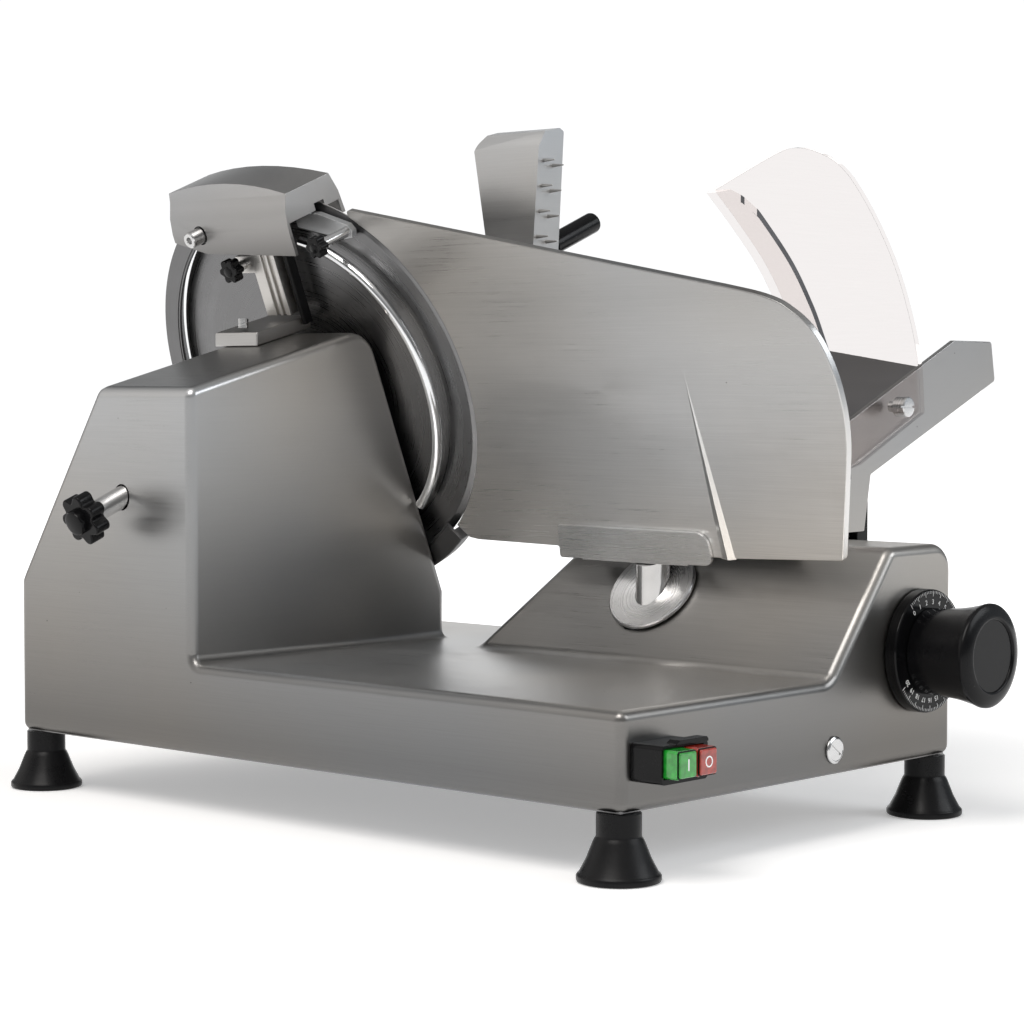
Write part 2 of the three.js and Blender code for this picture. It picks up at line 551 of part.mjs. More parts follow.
function columnParts() {
  const plateY = [BLADE.y - 12, BLADE.y + 14];
  const foot = extrude("y", [
    [121, roofAt(121) + GAP], [178, roofAt(178) + GAP], [178, roofAt(178) + 11], [121, roofAt(121) + 11],
  ], BLADE.y - 15, BLADE.y + 33);
  piece(upright, "sharpener_foot", "steel", foot);
  const columnFoot = 276;
  const column = cut(
    join(
      block([283, plateY[0], columnFoot], [296.5, plateY[1], 357.6]),
      block([LOCK.face, plateY[1] - 2, LOCK.b - 7], [LOCK.face + 6, LOCK.y + 7, LOCK.b + 7]),
    ),
    block([280, plateY[0] + 4, 270], [286, plateY[0] + 8, 360]),
    block([280, plateY[0] + 11, 270], [286, plateY[0] + 15, 360]),
    extrude("y", [[200, 306.4 - 60], [200, roofAt(178) + 12], [140, roofAt(140) + 11 + GAP],
      [140, 240]], 440, 540).rotateY(TILT),
  );
  piece(tilted, "sharpener_column", "steel", column);
  piece(tilted, "lock_knob", "black", join(
    starKnob(10, 6, 268, 277, [LOCK.y, LOCK.b]),
    rod("x", 4, 277, LOCK.face - GAP, [LOCK.y, LOCK.b], 16),
  ));
  piece(tilted, "wiper_strip", "rubber", block([289, 458.5, 266], [297.5, 462.5, 345]));
  piece(upright, "foot_bolt", "chrome", rod("z", 4, roofAt(132) + 11.9, roofAt(132) + 19,
    [128, BLADE.y + 8], 16));
}

const roofAt = (x) => TOWER.roofZ + TOWER.roofSlope * x;

// ---- carriage ----
function carriage() {
  piece(tilted, "tray_floor", "darkSteel", extrude("z", [
    [TRAY.start, TRAY.near], [596, TRAY.near], [601, 126], [641, 249],
    [641, TRAY.far], [TRAY.start, TRAY.far],
  ], TRAY.floor - TRAY.thick, TRAY.floor));
  piece(upright, "side_panel", "steel", extrude("y", [
    [baseX(325, 127), baseZ(325, 127)], [493, 342.5], [546, 342, 3], [551.5, 311.3, 3], [382, 242.5],
    [374, 201], [baseX(325, 84), baseZ(325, 84)],
  ], 79, 83.5, 3));
  piece(upright, "carriage_arm", "darkSteel", extrude("y", [
    [361, 66], [382, 66], [382, heightAt(382, TRAY.floor - TRAY.thick) - 0.5],
    [376, heightAt(376, TRAY.floor - TRAY.thick) - 0.5], [376, 86], [361, 86],
  ], 90, 144));
  piece(upright, "arm_cover", "black", cut(
    extrude("y", [[372, 98, 2], [386, 98, 4], [386, 243.8], [372, 238]], 84.2, 150, 4),
    block([374.5, 87, 90], [383.5, 147.5, 260]),
  ));
  piece(upright, "slider_block", "castGrey", cut(
    block([RAIL.x - 14, 86, RAIL.z - 13], [RAIL.x + 15.6, 148, RAIL.z + 13]),
    rod("y", RAIL.r + GAP, 80, 160, [RAIL.x, RAIL.z], 24),
  ));
  piece(upright, "carriage_rail", "chrome",
    rod("y", RAIL.r, SHEET + GAP, BASE.length - SHEET - GAP, [RAIL.x, RAIL.z], 24));
}

function clearGuard() {
  const sheet = new THREE.Shape();
  const rim = new THREE.SplineCurve(GUARD_EDGE.map(([x, z]) => new THREE.Vector2(x, z))).getPoints(16);
  const crown = new THREE.SplineCurve(GUARD_CROWN.map(([x, z]) => new THREE.Vector2(x, z))).getPoints(26);
  [...rim, ...crown.slice(1)].forEach(({ x, y }, i) => {
    const draw = i ? "lineTo" : "moveTo";
    sheet[draw](x, y);
  });
  sheet.lineTo(427.6, 280);
  sheet.lineTo(362, 250.7);
  sheet.closePath();
  const flat = extrude("y", sheet, 74, 78);
  const flange = new THREE.Shape();
  rim.forEach(({ x, y }, i) => {
    const draw = i ? "lineTo" : "moveTo";
    flange[draw](x, y);
  });
  const thick = 4;
  [...rim].reverse().forEach(({ x, y }) => flange.lineTo(x + thick, y + thick * 0.5));
  flange.closePath();
  const roundedEnd = [[170, 78], [181, 75], [184, 63], [192, 54.5], [204, 50], [330, 50], [330, 78]];
  const lip = common(outward(extrude("y", flange, 40, 75)), extrude("z", roundedEnd, 200, 460));
  piece(upright, "clear_guard", "castGrey", join(outward(flat), lip));
  piece(upright, "guard_screw", "chrome", revolve("y", [
    [0, 73.6], [4, 73.6], [4, 68], [7.5, 68], [7.5, 57], [0, 57],
  ], [399, 292.6], 20));
}

function pusher() {
  const place = [PUSHER.rodY, PUSHER.rodB];
  piece(tilted, "pusher_rod", "chrome", rod("x", PUSHER.rodR, 326, 636, place, 20));
  piece(tilted, "rod_brackets", "steel", cut(
    join(
      block([322.3, TRAY.far + GAP, TRAY.floor - TRAY.thick], [640, TRAY.far + 4, TRAY.floor]),
      block([322.3, TRAY.far + 1, TRAY.floor - TRAY.thick], [334, TRAY.far + 24, 136]),
      block([629, TRAY.far + 1, TRAY.floor - TRAY.thick], [640, TRAY.far + 24, 136]),
      rod("x", 11, 330, 381.5, place, 24),
    ),
    rod("x", PUSHER.rodR + GAP, 320, 650, place, 20),
  ));
  piece(tilted, "pusher_bush", "castGrey", tube("x", 13, PUSHER.rodR + GAP, 382, 388.5, place, 24));
  const side = extrude("y", [
    [389, 111], [389, 285], [424.7, 355.5], [436, 364], [453, 361, 2], [456.5, 357, 2],
    [416, 274], [416, 111],
  ], PUSHER.front, 370, 2);
  const front = extrude("x", [
    [PUSHER.front, 108], [355, 108, 12], [346, 240], [346.6, 285], [367.5, 358, 6], [356, 367],
    [PUSHER.front, 367],
  ], 380, 470);
  const spikes = [];
  for (let row = 0; row < 4; row++) {
    for (let column = 0; column < 2; column++) {
      const b = 293 + row * 17 - column * 7;
      const a = 398 + column * 12 + (row * 17 - column * 7) * 0.56;
      const spike = revolve("y", [
        [0, PUSHER.front - 11], [0.5, PUSHER.front - 10.8], [1.7, PUSHER.front + 1], [0, PUSHER.front + 1],
      ], [a, b], 8);
      spikes.push(spike);
    }
  }
  const bore = rod("x", PUSHER.rodR + GAP, 370, 480, place, 24);
  const pocket = extrude("y", [
    [391.5, 150], [391.5, 285], [427, 353.5], [437, 360.8], [452, 358], [413.5, 275], [413.5, 150],
  ], PUSHER.front + 3, 400);
  piece(tilted, "pusher_body", "steel", cut(join(common(side, front), ...spikes), bore, pocket));
  piece(tilted, "pusher_handle", "black", revolve("x", [
    [0, 423], [8.2, 423], [8.2, 475], [6.5, 477], [0, 477],
  ], [312, 277], 20));
}

base();
switchGroup();
thicknessControl();
gauge();
bladeUnit();
sliceDeflector();
drive();
sharpener();
carriage();
clearGuard();
pusher();

// The origin is the middle of the footprint, on the surface that the feet stand on.
root.updateMatrixWorld(true);
const box = new THREE.Box3().setFromObject(root, true);
root.position.set(-(box.min.x + box.max.x) / 2, -(box.min.y + box.max.y) / 2, -box.min.z);

export default root;
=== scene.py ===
"""Deli meat slicer: the looks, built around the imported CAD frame. Shapes are given in millimetres in two
frames: the upright base frame, and the blade frame, which is tilted about Y. Both have their origin at the
base shell's left front corner, on the worktop."""
import math

import bmesh
import bpy
from mathutils import Matrix, Vector


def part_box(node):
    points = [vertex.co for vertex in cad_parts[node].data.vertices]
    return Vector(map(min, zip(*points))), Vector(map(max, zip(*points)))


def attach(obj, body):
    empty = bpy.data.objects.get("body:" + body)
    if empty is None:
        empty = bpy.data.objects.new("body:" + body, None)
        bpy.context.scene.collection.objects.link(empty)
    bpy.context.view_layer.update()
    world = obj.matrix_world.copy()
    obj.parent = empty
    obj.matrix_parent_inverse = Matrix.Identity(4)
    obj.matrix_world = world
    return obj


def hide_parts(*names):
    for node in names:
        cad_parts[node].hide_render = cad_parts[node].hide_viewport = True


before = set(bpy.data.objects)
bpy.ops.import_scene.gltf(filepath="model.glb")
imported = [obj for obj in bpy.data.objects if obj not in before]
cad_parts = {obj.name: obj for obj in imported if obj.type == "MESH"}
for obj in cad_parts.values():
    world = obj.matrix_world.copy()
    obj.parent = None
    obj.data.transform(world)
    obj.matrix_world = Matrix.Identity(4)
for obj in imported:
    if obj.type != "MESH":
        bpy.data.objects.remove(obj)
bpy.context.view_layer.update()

# ---- frames and driving sizes
MM = 0.001
SHELL_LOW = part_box("base_shell")[0]
TILT = math.radians(22)
BASE = Matrix.Translation((SHELL_LOW.x, SHELL_LOW.y, 0)) @ Matrix.Scale(MM, 4)
BLADE_FRAME = BASE @ Matrix.Rotation(-TILT, 4, "Y")

WIDTH, LENGTH, BOTTOM, DECK, SHEET = 370, 600, 44, 109, 3
TOWER_FRONT, ROOF_Z, ROOF_SLOPE, WALL_A, KNEE_Z = 401, 306.4, 0.2568, 299.4, 146
BACK_ROOF_Y, BACK_FOOT_Z = 506, 159.5
RAMP_FOOT, RAMP_TOP, RAMP_Z, RAMP_BACK_FOOT, RAMP_BACK_TOP = 222, 293, 196, 331, 270
BLADE_Y, BLADE_B = 478, 210
KNOB_X, KNOB_Z = 327, 122
PLUG = (225, 61.7)  # x, z of the round plug in the front face
POST, POST_RADIUS, SEAT = (264, 190), 13, (261.5, 187)  # x, y of the gauge post and of its dish
RAMP_TILT = math.atan2(RAMP_Z - DECK, RAMP_TOP - RAMP_FOOT)
POST_SLOT = [(245.47, 175), (279, 175), (279, 205), (245.47, 205), (239.47, 197), (239.47, 183)]
# Centres across the blade frame: y, and height square to the slant.
TRIM, LOCK, PLUNGER, HONING = (395, 336.5), (504.8, 317.9), (526.5, 348), (BLADE_Y - 8, 360)
GUARD_SCREW = (399, 292.6)
PUSHER_ROD, PUSHER_GRIP = (342, 124), (312, 277)

GAUGE_BACK, GAUGE_FRONT = 305, 311
GAUGE_ARC = 157.2  # radius of the plate's cut-out round the blade
GUARD_NEAR, GUARD_FAR = 74, 78
GUARD_EDGE = [
    (311, 240), (308, 262), (304, 285), (298, 304), (292, 317), (282, 333.5), (270, 354), (261.6, 366),
    (246.4, 385), (230.3, 401), (205.4, 421.8), (182.2, 439.8),
]
GUARD_CROWN = [
    (182.2, 439.8), (219.7, 455.6), (259.5, 471.6), (279.3, 476.3), (301.9, 476.3), (326.1, 471.4),
    (343.4, 464), (358.4, 453.2), (378.9, 433.8), (399.7, 409.5), (415.6, 385.6), (429.1, 358.9),
    (437.4, 337.2), (442, 318), (444.8, 287.6),
]
DIAL_NUMBERS, DIAL_STEP, DIAL_START = 20, 13.5, -36  # degrees, clockwise from the top

CAMERA_PLACE = (-1257.3, -1046.7, 317.5)
CAMERA_AZIMUTH, CAMERA_PITCH = math.radians(47.849), math.radians(2.982)


# ---- camera, light and floor
def add_object(name, data):
    made = bpy.data.objects.new(name, data)
    bpy.context.scene.collection.objects.link(made)
    return made


def make_camera():
    data = bpy.data.cameras.new("camera")
    data.sensor_width = 36
    data.lens = 93.75
    data.clip_end = 50
    camera = add_object("camera", data)
    camera.matrix_world = (
        Matrix.Translation(BASE @ Vector(CAMERA_PLACE))
        @ Matrix.Rotation(-CAMERA_AZIMUTH, 4, "Z")
        @ Matrix.Rotation(math.pi / 2 - CAMERA_PITCH, 4, "X")
    )
    bpy.context.scene.camera = camera


def soft_box(name, place, target, size, power, colour=(1, 1, 1)):
    data = bpy.data.lights.new(name, "AREA")
    data.shape = "RECTANGLE"
    data.size, data.size_y = size
    data.energy = power
    data.color = colour
    light = add_object(name, data)
    light.location = place
    light.rotation_euler = (Vector(target) - Vector(place)).to_track_quat("-Z", "Y").to_euler()


# Each lobe of the room's light: direction, tightness, strength, colour.
ROOM_LOBES = [
    ((0.74, 0.67, -0.02), 26, 4.2, (1.0, 1.0, 1.0)),
    ((-0.55, 0.75, 0.3), 6, 0.8, (1.0, 0.96, 0.92)),
    ((0.75, -0.62, 0.1), 8, 0.38, (0.86, 0.95, 1.05)),
    ((-0.3, -0.2, 0.93), 3, 0.6, (1.0, 0.97, 0.94)),
]
BRIGHTEST = 0.88
ROOM_DIM = (0.15, 0.155, 0.16)


def make_room():
    world = bpy.data.worlds.new("room")
    bpy.context.scene.world = world
    world.use_nodes = True
    tree = world.node_tree
    tree.nodes.clear()
    add = Wiring(tree)
    direction = add.node("ShaderNodeTexCoord").outputs["Generated"]
    total = None
    for towards, tightness, strength, colour in ROOM_LOBES:
        unit = Vector(towards).normalized()
        facing = add.node("ShaderNodeVectorMath", operation="DOT_PRODUCT")
        add.link(direction, facing.inputs[0])
        facing.inputs[1].default_value = unit
        lit = add.math("POWER", add.math("MAXIMUM", facing.outputs["Value"], 0.0), float(tightness))
        tint = add.node("ShaderNodeVectorMath", operation="SCALE")
        tint.inputs[0].default_value = colour
        add.link(add.math("MINIMUM", add.math("MULTIPLY", lit, strength), BRIGHTEST), tint.inputs["Scale"])
        if total is None:
            total = add.vector("ADD", tint.outputs[0], ROOM_DIM)
        else:
            total = add.vector("ADD", total, tint.outputs[0])
    background = add.node("ShaderNodeBackground")
    add.link(total, background.inputs["Color"])
    output = add.node("ShaderNodeOutputWorld")
    add.link(background.outputs[0], output.inputs["Surface"])


def make_floor():
    """A pale sweep of paper, whiter in the distance behind the machine."""
    bpy.ops.mesh.primitive_plane_add(size=300, location=(0, 0, 0))
    floor = bpy.context.object
    floor.name = "floor"
    material, add, shader, place = new_material("floor_paper")
    depth = add.node("ShaderNodeVectorMath", operation="DOT_PRODUCT")
    add.link(place, depth.inputs[0])
    depth.inputs[1].default_value = (0.74, 0.67, 0)
    shader.inputs["Base Color"].default_value = (0.9, 0.9, 0.9, 1)
    shader.inputs["Roughness"].default_value = 0.8
    shader.inputs["Specular IOR Level"].default_value = 0.1
    shader.inputs["Emission Color"].default_value = (1, 1, 1, 1)
    add.link(add.remap(depth.outputs["Value"], 0.1, 1.4, 0.3, 0.85), shader.inputs["Emission Strength"])
    floor.data.materials.append(material)


# ---- shader wiring
class Wiring:
    """Short names for making and linking shader nodes."""

    def __init__(self, tree):
        self.tree = tree

    def node(self, kind, **settings):
        made = self.tree.nodes.new(kind)
        for key, value in settings.items():
            setattr(made, key, value)
        return made

    def link(self, source, socket):
        self.tree.links.new(source, socket)

    def feed(self, value, socket):
        if isinstance(value, bpy.types.NodeSocket):
            self.link(value, socket)
        else:
            socket.default_value = value

    def math(self, operation, first, second=0.0, clamp=False):
        made = self.node("ShaderNodeMath", operation=operation, use_clamp=clamp)
        self.feed(first, made.inputs[0])
        self.feed(second, made.inputs[1])
        return made.outputs[0]

    def vector(self, operation, first, second):
        made = self.node("ShaderNodeVectorMath", operation=operation)
        self.feed(first, made.inputs[0])
        self.feed(second, made.inputs[1])
        return made.outputs[0]

    def remap(self, value, low, high, to_low=0.0, to_high=1.0):
        made = self.node("ShaderNodeMapRange")
        self.feed(value, made.inputs["Value"])
        for key, number in zip(("From Min", "From Max", "To Min", "To Max"), (low, high, to_low, to_high)):
            made.inputs[key].default_value = number
        return made.outputs[0]

    def mix(self, factor, first, second):
        made = self.node("ShaderNodeMix", data_type="RGBA")
        self.feed(factor, made.inputs["Factor"])
        self.feed(first if not isinstance(first, tuple) else (*first, 1)[:4], made.inputs[6])
        self.feed(second if not isinstance(second, tuple) else (*second, 1)[:4], made.inputs[7])
        return made.outputs[2]

    def noise(self, vector, scale, detail=3.0, roughness=0.5):
        made = self.node("ShaderNodeTexNoise")
        self.link(vector, made.inputs["Vector"])
        made.inputs["Scale"].default_value = scale
        made.inputs["Detail"].default_value = detail
        made.inputs["Roughness"].default_value = roughness
        return made.outputs["Fac"]

    def stretched(self, vector, scale, turn=(0, 0, 0)):
        made = self.node("ShaderNodeMapping")
        self.link(vector, made.inputs["Vector"])
        made.inputs["Scale"].default_value = scale
        made.inputs["Rotation"].default_value = turn
        return made.outputs[0]

    def bump(self, height, distance, strength=1.0):
        made = self.node("ShaderNodeBump")
        self.link(height, made.inputs["Height"])
        made.inputs["Distance"].default_value = distance
        made.inputs["Strength"].default_value = strength
        return made.outputs[0]

    def specks(self, place, spacing, radius, share):
        """1 on small scattered specks, 0 elsewhere. Spacing and radius are in metres."""
        cells = self.node("ShaderNodeTexVoronoi")
        self.link(place, cells.inputs["Vector"])
        cells.inputs["Scale"].default_value = 1 / spacing
        near = self.remap(cells.outputs["Distance"], radius / spacing, 0.4 * radius / spacing)
        chosen = self.node("ShaderNodeSeparateColor")
        self.link(cells.outputs["Color"], chosen.inputs[0])
        kept = self.math("LESS_THAN", chosen.outputs[0], share)
        return self.math("MULTIPLY", near, kept)


def new_material(name):
    """A new material, its wiring, its shader and the place on the piece that its textures follow."""
    material = bpy.data.materials.new(name)
    material.use_nodes = True
    add = Wiring(material.node_tree)
    shader = material.node_tree.nodes["Principled BSDF"]
    return material, add, shader, add.node("ShaderNodeTexCoord").outputs["Object"]


def times(colour, factor):
    return tuple(min(1.0, factor * c) for c in colour)


GRAIN_ALONG = {"x": (16, 1700, 1700), "y": (1700, 16, 1700)}


def grain_lines(add, place, grain, turn):
    """Streaks one way over the whole piece, or, with "auto", along X on its Y faces and along Y elsewhere."""
    if grain != "auto":
        return add.noise(add.stretched(place, GRAIN_ALONG[grain], turn), 1, 4, 0.6)
    normal = add.node("ShaderNodeTexCoord").outputs["Normal"]
    split = add.node("ShaderNodeSeparateXYZ")
    add.link(normal, split.inputs[0])
    to_side = add.math("GREATER_THAN", add.math("ABSOLUTE", split.outputs[1]), 0.7)
    along_y = add.noise(add.stretched(place, GRAIN_ALONG["y"], turn), 1, 4, 0.6)
    along_x = add.noise(add.stretched(place, GRAIN_ALONG["x"], turn), 1, 4, 0.6)
    along_x = add.remap(along_x, 0.0, 1.0, 0.3, 0.7)
    return blend(add, to_side, along_y, along_x)


def blend(add, share, first, second):
    """The first number where share is 0, the second where it is 1."""
    return add.math("ADD", add.math("MULTIPLY", second, share),
                    add.math("MULTIPLY", first, add.math("SUBTRACT", 1.0, share)))


# Painted shade and painted light: scales a colour by height, and on faces that look up by a second height
# range.
def painted_shade_by_height(add, place, colour, painted_height_shade, painted_top_face_shade):
    height = add.node("ShaderNodeSeparateXYZ")
    add.link(place, height.inputs[0])
    painted_tone = add.remap(height.outputs[2], *painted_height_shade)
    if painted_top_face_shade:
        facing = add.node("ShaderNodeSeparateXYZ")
        add.link(add.node("ShaderNodeTexCoord").outputs["Normal"], facing.inputs[0])
        upward = add.remap(facing.outputs[2], 0.75, 0.95)
        painted_tone = blend(add, upward, painted_tone, add.remap(height.outputs[2], *painted_top_face_shade))
    scaled = add.node("ShaderNodeVectorMath", operation="SCALE")
    add.link(colour, scaled.inputs[0])
    add.link(painted_tone, scaled.inputs["Scale"])
    return scaled.outputs[0]


def brushed_metal(name, colour, roughness, tilted=False, grain="auto", contrast=1.0, anisotropy=0.35,
                  painted_height_shade=None, painted_top_face_shade=None):
    """Sheet metal with a fine one-way grain, faint cloudy patches and a few dark specks.
    The height tones (low height, high height, tone there, tone there) scale its colour by height as painted
    shade and painted light: darker where the tone is below one, lighter where it is above one. The top-face
    tones do the same on the faces that look up."""
    material, add, shader, place = new_material(name)
    lines = grain_lines(add, place, grain, (0, TILT, 0) if tilted else (0, 0, 0))
    clouds = add.noise(place, 7, 4, 0.6)
    specks = add.specks(place, 0.026, 0.0007, 0.25)
    shade = add.math("ADD", add.remap(lines, 0.3, 0.7, -0.13 * contrast, 0.13 * contrast),
                     add.remap(clouds, 0.3, 0.7, -0.04, 0.04))
    dark = times(colour, 0.72)
    light = times(colour, 1.28)
    toned = add.mix(add.math("ADD", shade, 0.5, clamp=True), dark, light)
    warm = add.mix(add.remap(add.noise(place, 2.6, 2), 0.35, 0.65), (0.96, 0.99, 1.03), (1.04, 1.0, 0.95))
    tinted = add.node("ShaderNodeMix", data_type="RGBA", blend_type="MULTIPLY")
    tinted.inputs["Factor"].default_value = 1
    add.link(toned, tinted.inputs[6])
    add.link(warm, tinted.inputs[7])
    worn_and_painted_shade = add.mix(specks, tinted.outputs[2], times(colour, 0.3))
    # painted shade and painted light by height and by facing, laid over the real dark specks
    if painted_height_shade:
        worn_and_painted_shade = painted_shade_by_height(add, place, worn_and_painted_shade, painted_height_shade, painted_top_face_shade)
    add.link(worn_and_painted_shade, shader.inputs["Base Color"])
    rough = add.math("ADD", add.remap(lines, 0.3, 0.7, roughness - 0.06, roughness + 0.06),
                     add.remap(clouds, 0.3, 0.7, -0.03, 0.03))
    add.link(add.math("ADD", rough, add.math("MULTIPLY", specks, 0.25)), shader.inputs["Roughness"])
    shader.inputs["Metallic"].default_value = 1
    shader.inputs["Anisotropic"].default_value = anisotropy
    add.link(add.bump(add.math("SUBTRACT", lines, specks), 0.00004 * contrast), shader.inputs["Normal"])
    return material


def turned_metal(name, colour, roughness, centre, axis, ring_scale=700, bump=0.00002, mottling=0.1):
    """Metal turned or ground on a lathe: fine rings round an axis."""
    material, add, shader, place = new_material(name)
    offset = add.vector("SUBTRACT", place, tuple(centre))
    across = add.node("ShaderNodeVectorMath", operation="CROSS_PRODUCT")
    add.link(offset, across.inputs[0])
    across.inputs[1].default_value = tuple(axis)
    radius = add.node("ShaderNodeVectorMath", operation="LENGTH")
    add.link(across.outputs[0], radius.inputs[0])
    rings = add.node("ShaderNodeTexNoise", noise_dimensions="1D")
    add.link(radius.outputs["Value"], rings.inputs["W"])
    rings.inputs["Scale"].default_value = ring_scale
    rings.inputs["Detail"].default_value = 4
    marks = add.noise(place, 40, 4, 0.6)
    specks = add.specks(place, 0.02, 0.0007, 0.3)
    shade = add.remap(rings.outputs["Fac"], 0.3, 0.7, 1 - mottling, 1 + mottling)
    dark = times(colour, 0.8)
    light = times(colour, 1.15)
    toned = add.mix(add.remap(shade, 0.85, 1.15), dark, light)
    add.link(add.mix(specks, toned, times(colour, 0.4)), shader.inputs["Base Color"])
    rough = add.math("ADD", add.remap(rings.outputs["Fac"], 0.3, 0.7, roughness * 0.8, roughness * 1.25),
                     add.remap(marks, 0.35, 0.7, -0.02, 0.05))
    add.link(rough, shader.inputs["Roughness"])
    shader.inputs["Metallic"].default_value = 1
    add.link(add.bump(rings.outputs["Fac"], bump), shader.inputs["Normal"])
    return material


def moulded_plastic(name, colour, roughness, coat=0.3, texture=0.00003, scale=900):
    """Moulded plastic: faint surface texture, handling smudges and a few dust specks."""
    material, add, shader, place = new_material(name)
    fine = add.noise(place, scale, 3, 0.6)
    smudge = add.noise(place, 28, 4, 0.6)
    dust = add.specks(place, 0.012, 0.0003, 0.3)
    lifted = tuple(min(1.0, c * 1.35 + 0.002) for c in colour)
    toned = add.mix(add.remap(smudge, 0.35, 0.7), colour, lifted)
    add.link(add.mix(add.math("MULTIPLY", dust, 0.25), toned, (0.5, 0.5, 0.5)), shader.inputs["Base Color"])
    rough = add.math("ADD", add.remap(smudge, 0.35, 0.7, roughness * 0.75, roughness * 1.3),
                     add.remap(fine, 0.3, 0.7, -0.02, 0.03))
    add.link(rough, shader.inputs["Roughness"])
    shader.inputs["Coat Weight"].default_value = coat
    shader.inputs["Coat Roughness"].default_value = 0.12
    shader.inputs["Specular IOR Level"].default_value = 0.16
    add.link(add.bump(fine, texture), shader.inputs["Normal"])
    return material


def clear_sheet(name, colour):
    """Clear acrylic with a faint warm tint and hairline scratches."""
    material, add, shader, place = new_material(name)
    scratches = add.noise(add.stretched(place, (30, 600, 900), (0.3, 0.5, 0.2)), 1, 3, 0.6)
    lighter = times(colour, 1.02)
    add.link(add.mix(add.remap(scratches, 0.4, 0.7), colour, lighter), shader.inputs["Base Color"])
    add.link(add.remap(scratches, 0.5, 0.75, 0.01, 0.05), shader.inputs["Roughness"])
    shader.inputs["Transmission Weight"].default_value = 1
    shader.inputs["IOR"].default_value = 1.03
    add.link(add.bump(scratches, 0.000006), shader.inputs["Normal"])
    return material


def lens_plastic(name, colour, painted_glow):
    """A see-through coloured cap with a faint painted glow."""
    material, add, shader, place = new_material(name)
    ribs = add.noise(place, 240, 3, 0.5)
    deep = times(colour, 0.55)
    add.link(add.mix(add.remap(ribs, 0.35, 0.65), deep, colour), shader.inputs["Base Color"])
    add.link(add.remap(ribs, 0.3, 0.7, 0.1, 0.22), shader.inputs["Roughness"])
    shader.inputs["Coat Weight"].default_value = 0.8
    shader.inputs["Coat Roughness"].default_value = 0.05
    shader.inputs["Emission Color"].default_value = (*colour, 1)
    # painted glow: the cap gives off a little light in its own colour
    shader.inputs["Emission Strength"].default_value = painted_glow
    add.link(add.bump(ribs, 0.00003), shader.inputs["Normal"])
    return material


def abrasive(name, colour):
    material, add, shader, place = new_material(name)
    grit = add.noise(place, 2500, 4, 0.7)
    toned = add.mix(add.remap(grit, 0.35, 0.65), times(colour, 0.5), colour)
    add.link(toned, shader.inputs["Base Color"])
    add.link(add.remap(grit, 0.3, 0.7, 0.8, 1.0), shader.inputs["Roughness"])
    add.link(add.bump(grit, 0.0003), shader.inputs["Normal"])
    return material


def moulded_metal(name, colour, roughness):
    """Fine sand-cast or bead-blasted metal."""
    material, add, shader, place = new_material(name)
    grain = add.noise(place, 1400, 3, 0.6)
    clouds = add.noise(place, 30, 4, 0.6)
    dark = times(colour, 0.8)
    add.link(add.mix(add.remap(clouds, 0.3, 0.7), dark, colour), shader.inputs["Base Color"])
    add.link(add.remap(grain, 0.3, 0.7, roughness - 0.06, roughness + 0.08), shader.inputs["Roughness"])
    shader.inputs["Metallic"].default_value = 1
    add.link(add.bump(grain, 0.00005), shader.inputs["Normal"])
    return material


# ---- mesh helpers
def rounded(corners, steps=8):
    """Points of a closed outline through (u, v) or (u, v, radius) corners."""
    points = []
    count = len(corners)
    for i, corner in enumerate(corners):
        here = Vector(corner[:2])
        radius = corner[2] if len(corner) > 2 else 0
        if not radius:
            points.append(here)
            continue
        back = (Vector(corners[i - 1][:2]) - here).normalized()
        ahead = (Vector(corners[(i + 1) % count][:2]) - here).normalized()
        half = math.acos(max(-1, min(1, back.dot(ahead)))) / 2
        centre = here + (back + ahead).normalized() * (radius / math.sin(half))
        start = here + back * (radius / math.tan(half)) - centre
        end = here + ahead * (radius / math.tan(half)) - centre
        sweep = start.angle_signed(end)
        for k in range(steps + 1):
            turn = -sweep * k / steps
            points.append(centre + Matrix.Rotation(turn, 2) @ start)
    return points


def to_object(name, bm, matrix):
    bmesh.ops.transform(bm, matrix=matrix, verts=bm.verts)
    bmesh.ops.recalc_face_normals(bm, faces=bm.faces)
    mesh = bpy.data.meshes.new(name)
    bm.to_mesh(mesh)
    bm.free()
    return add_object(name, mesh)


AXES = {"x": (1, 2, 0), "y": (0, 2, 1), "z": (0, 1, 2)}  # which coordinates an outline's u, v and depth fill


def spread(along, u, v, w):
    place = [0.0, 0.0, 0.0]
    for index, value in zip(AXES[along], (u, v, w)):
        place[index] = value
    return place


def prism(name, along, points, low, high, matrix=BASE):
    """An outline swept straight along one axis, from low to high."""
    bm = bmesh.new()
    lower = [bm.verts.new(spread(along, p[0], p[1], low)) for p in points]
    upper = [bm.verts.new(spread(along, p[0], p[1], high)) for p in points]
    bm.faces.new(lower)
    bm.faces.new(list(reversed(upper)))
    for i in range(len(points)):
        j = (i + 1) % len(points)
        bm.faces.new((lower[j], lower[i], upper[i], upper[j]))
    return to_object(name, bm, matrix)


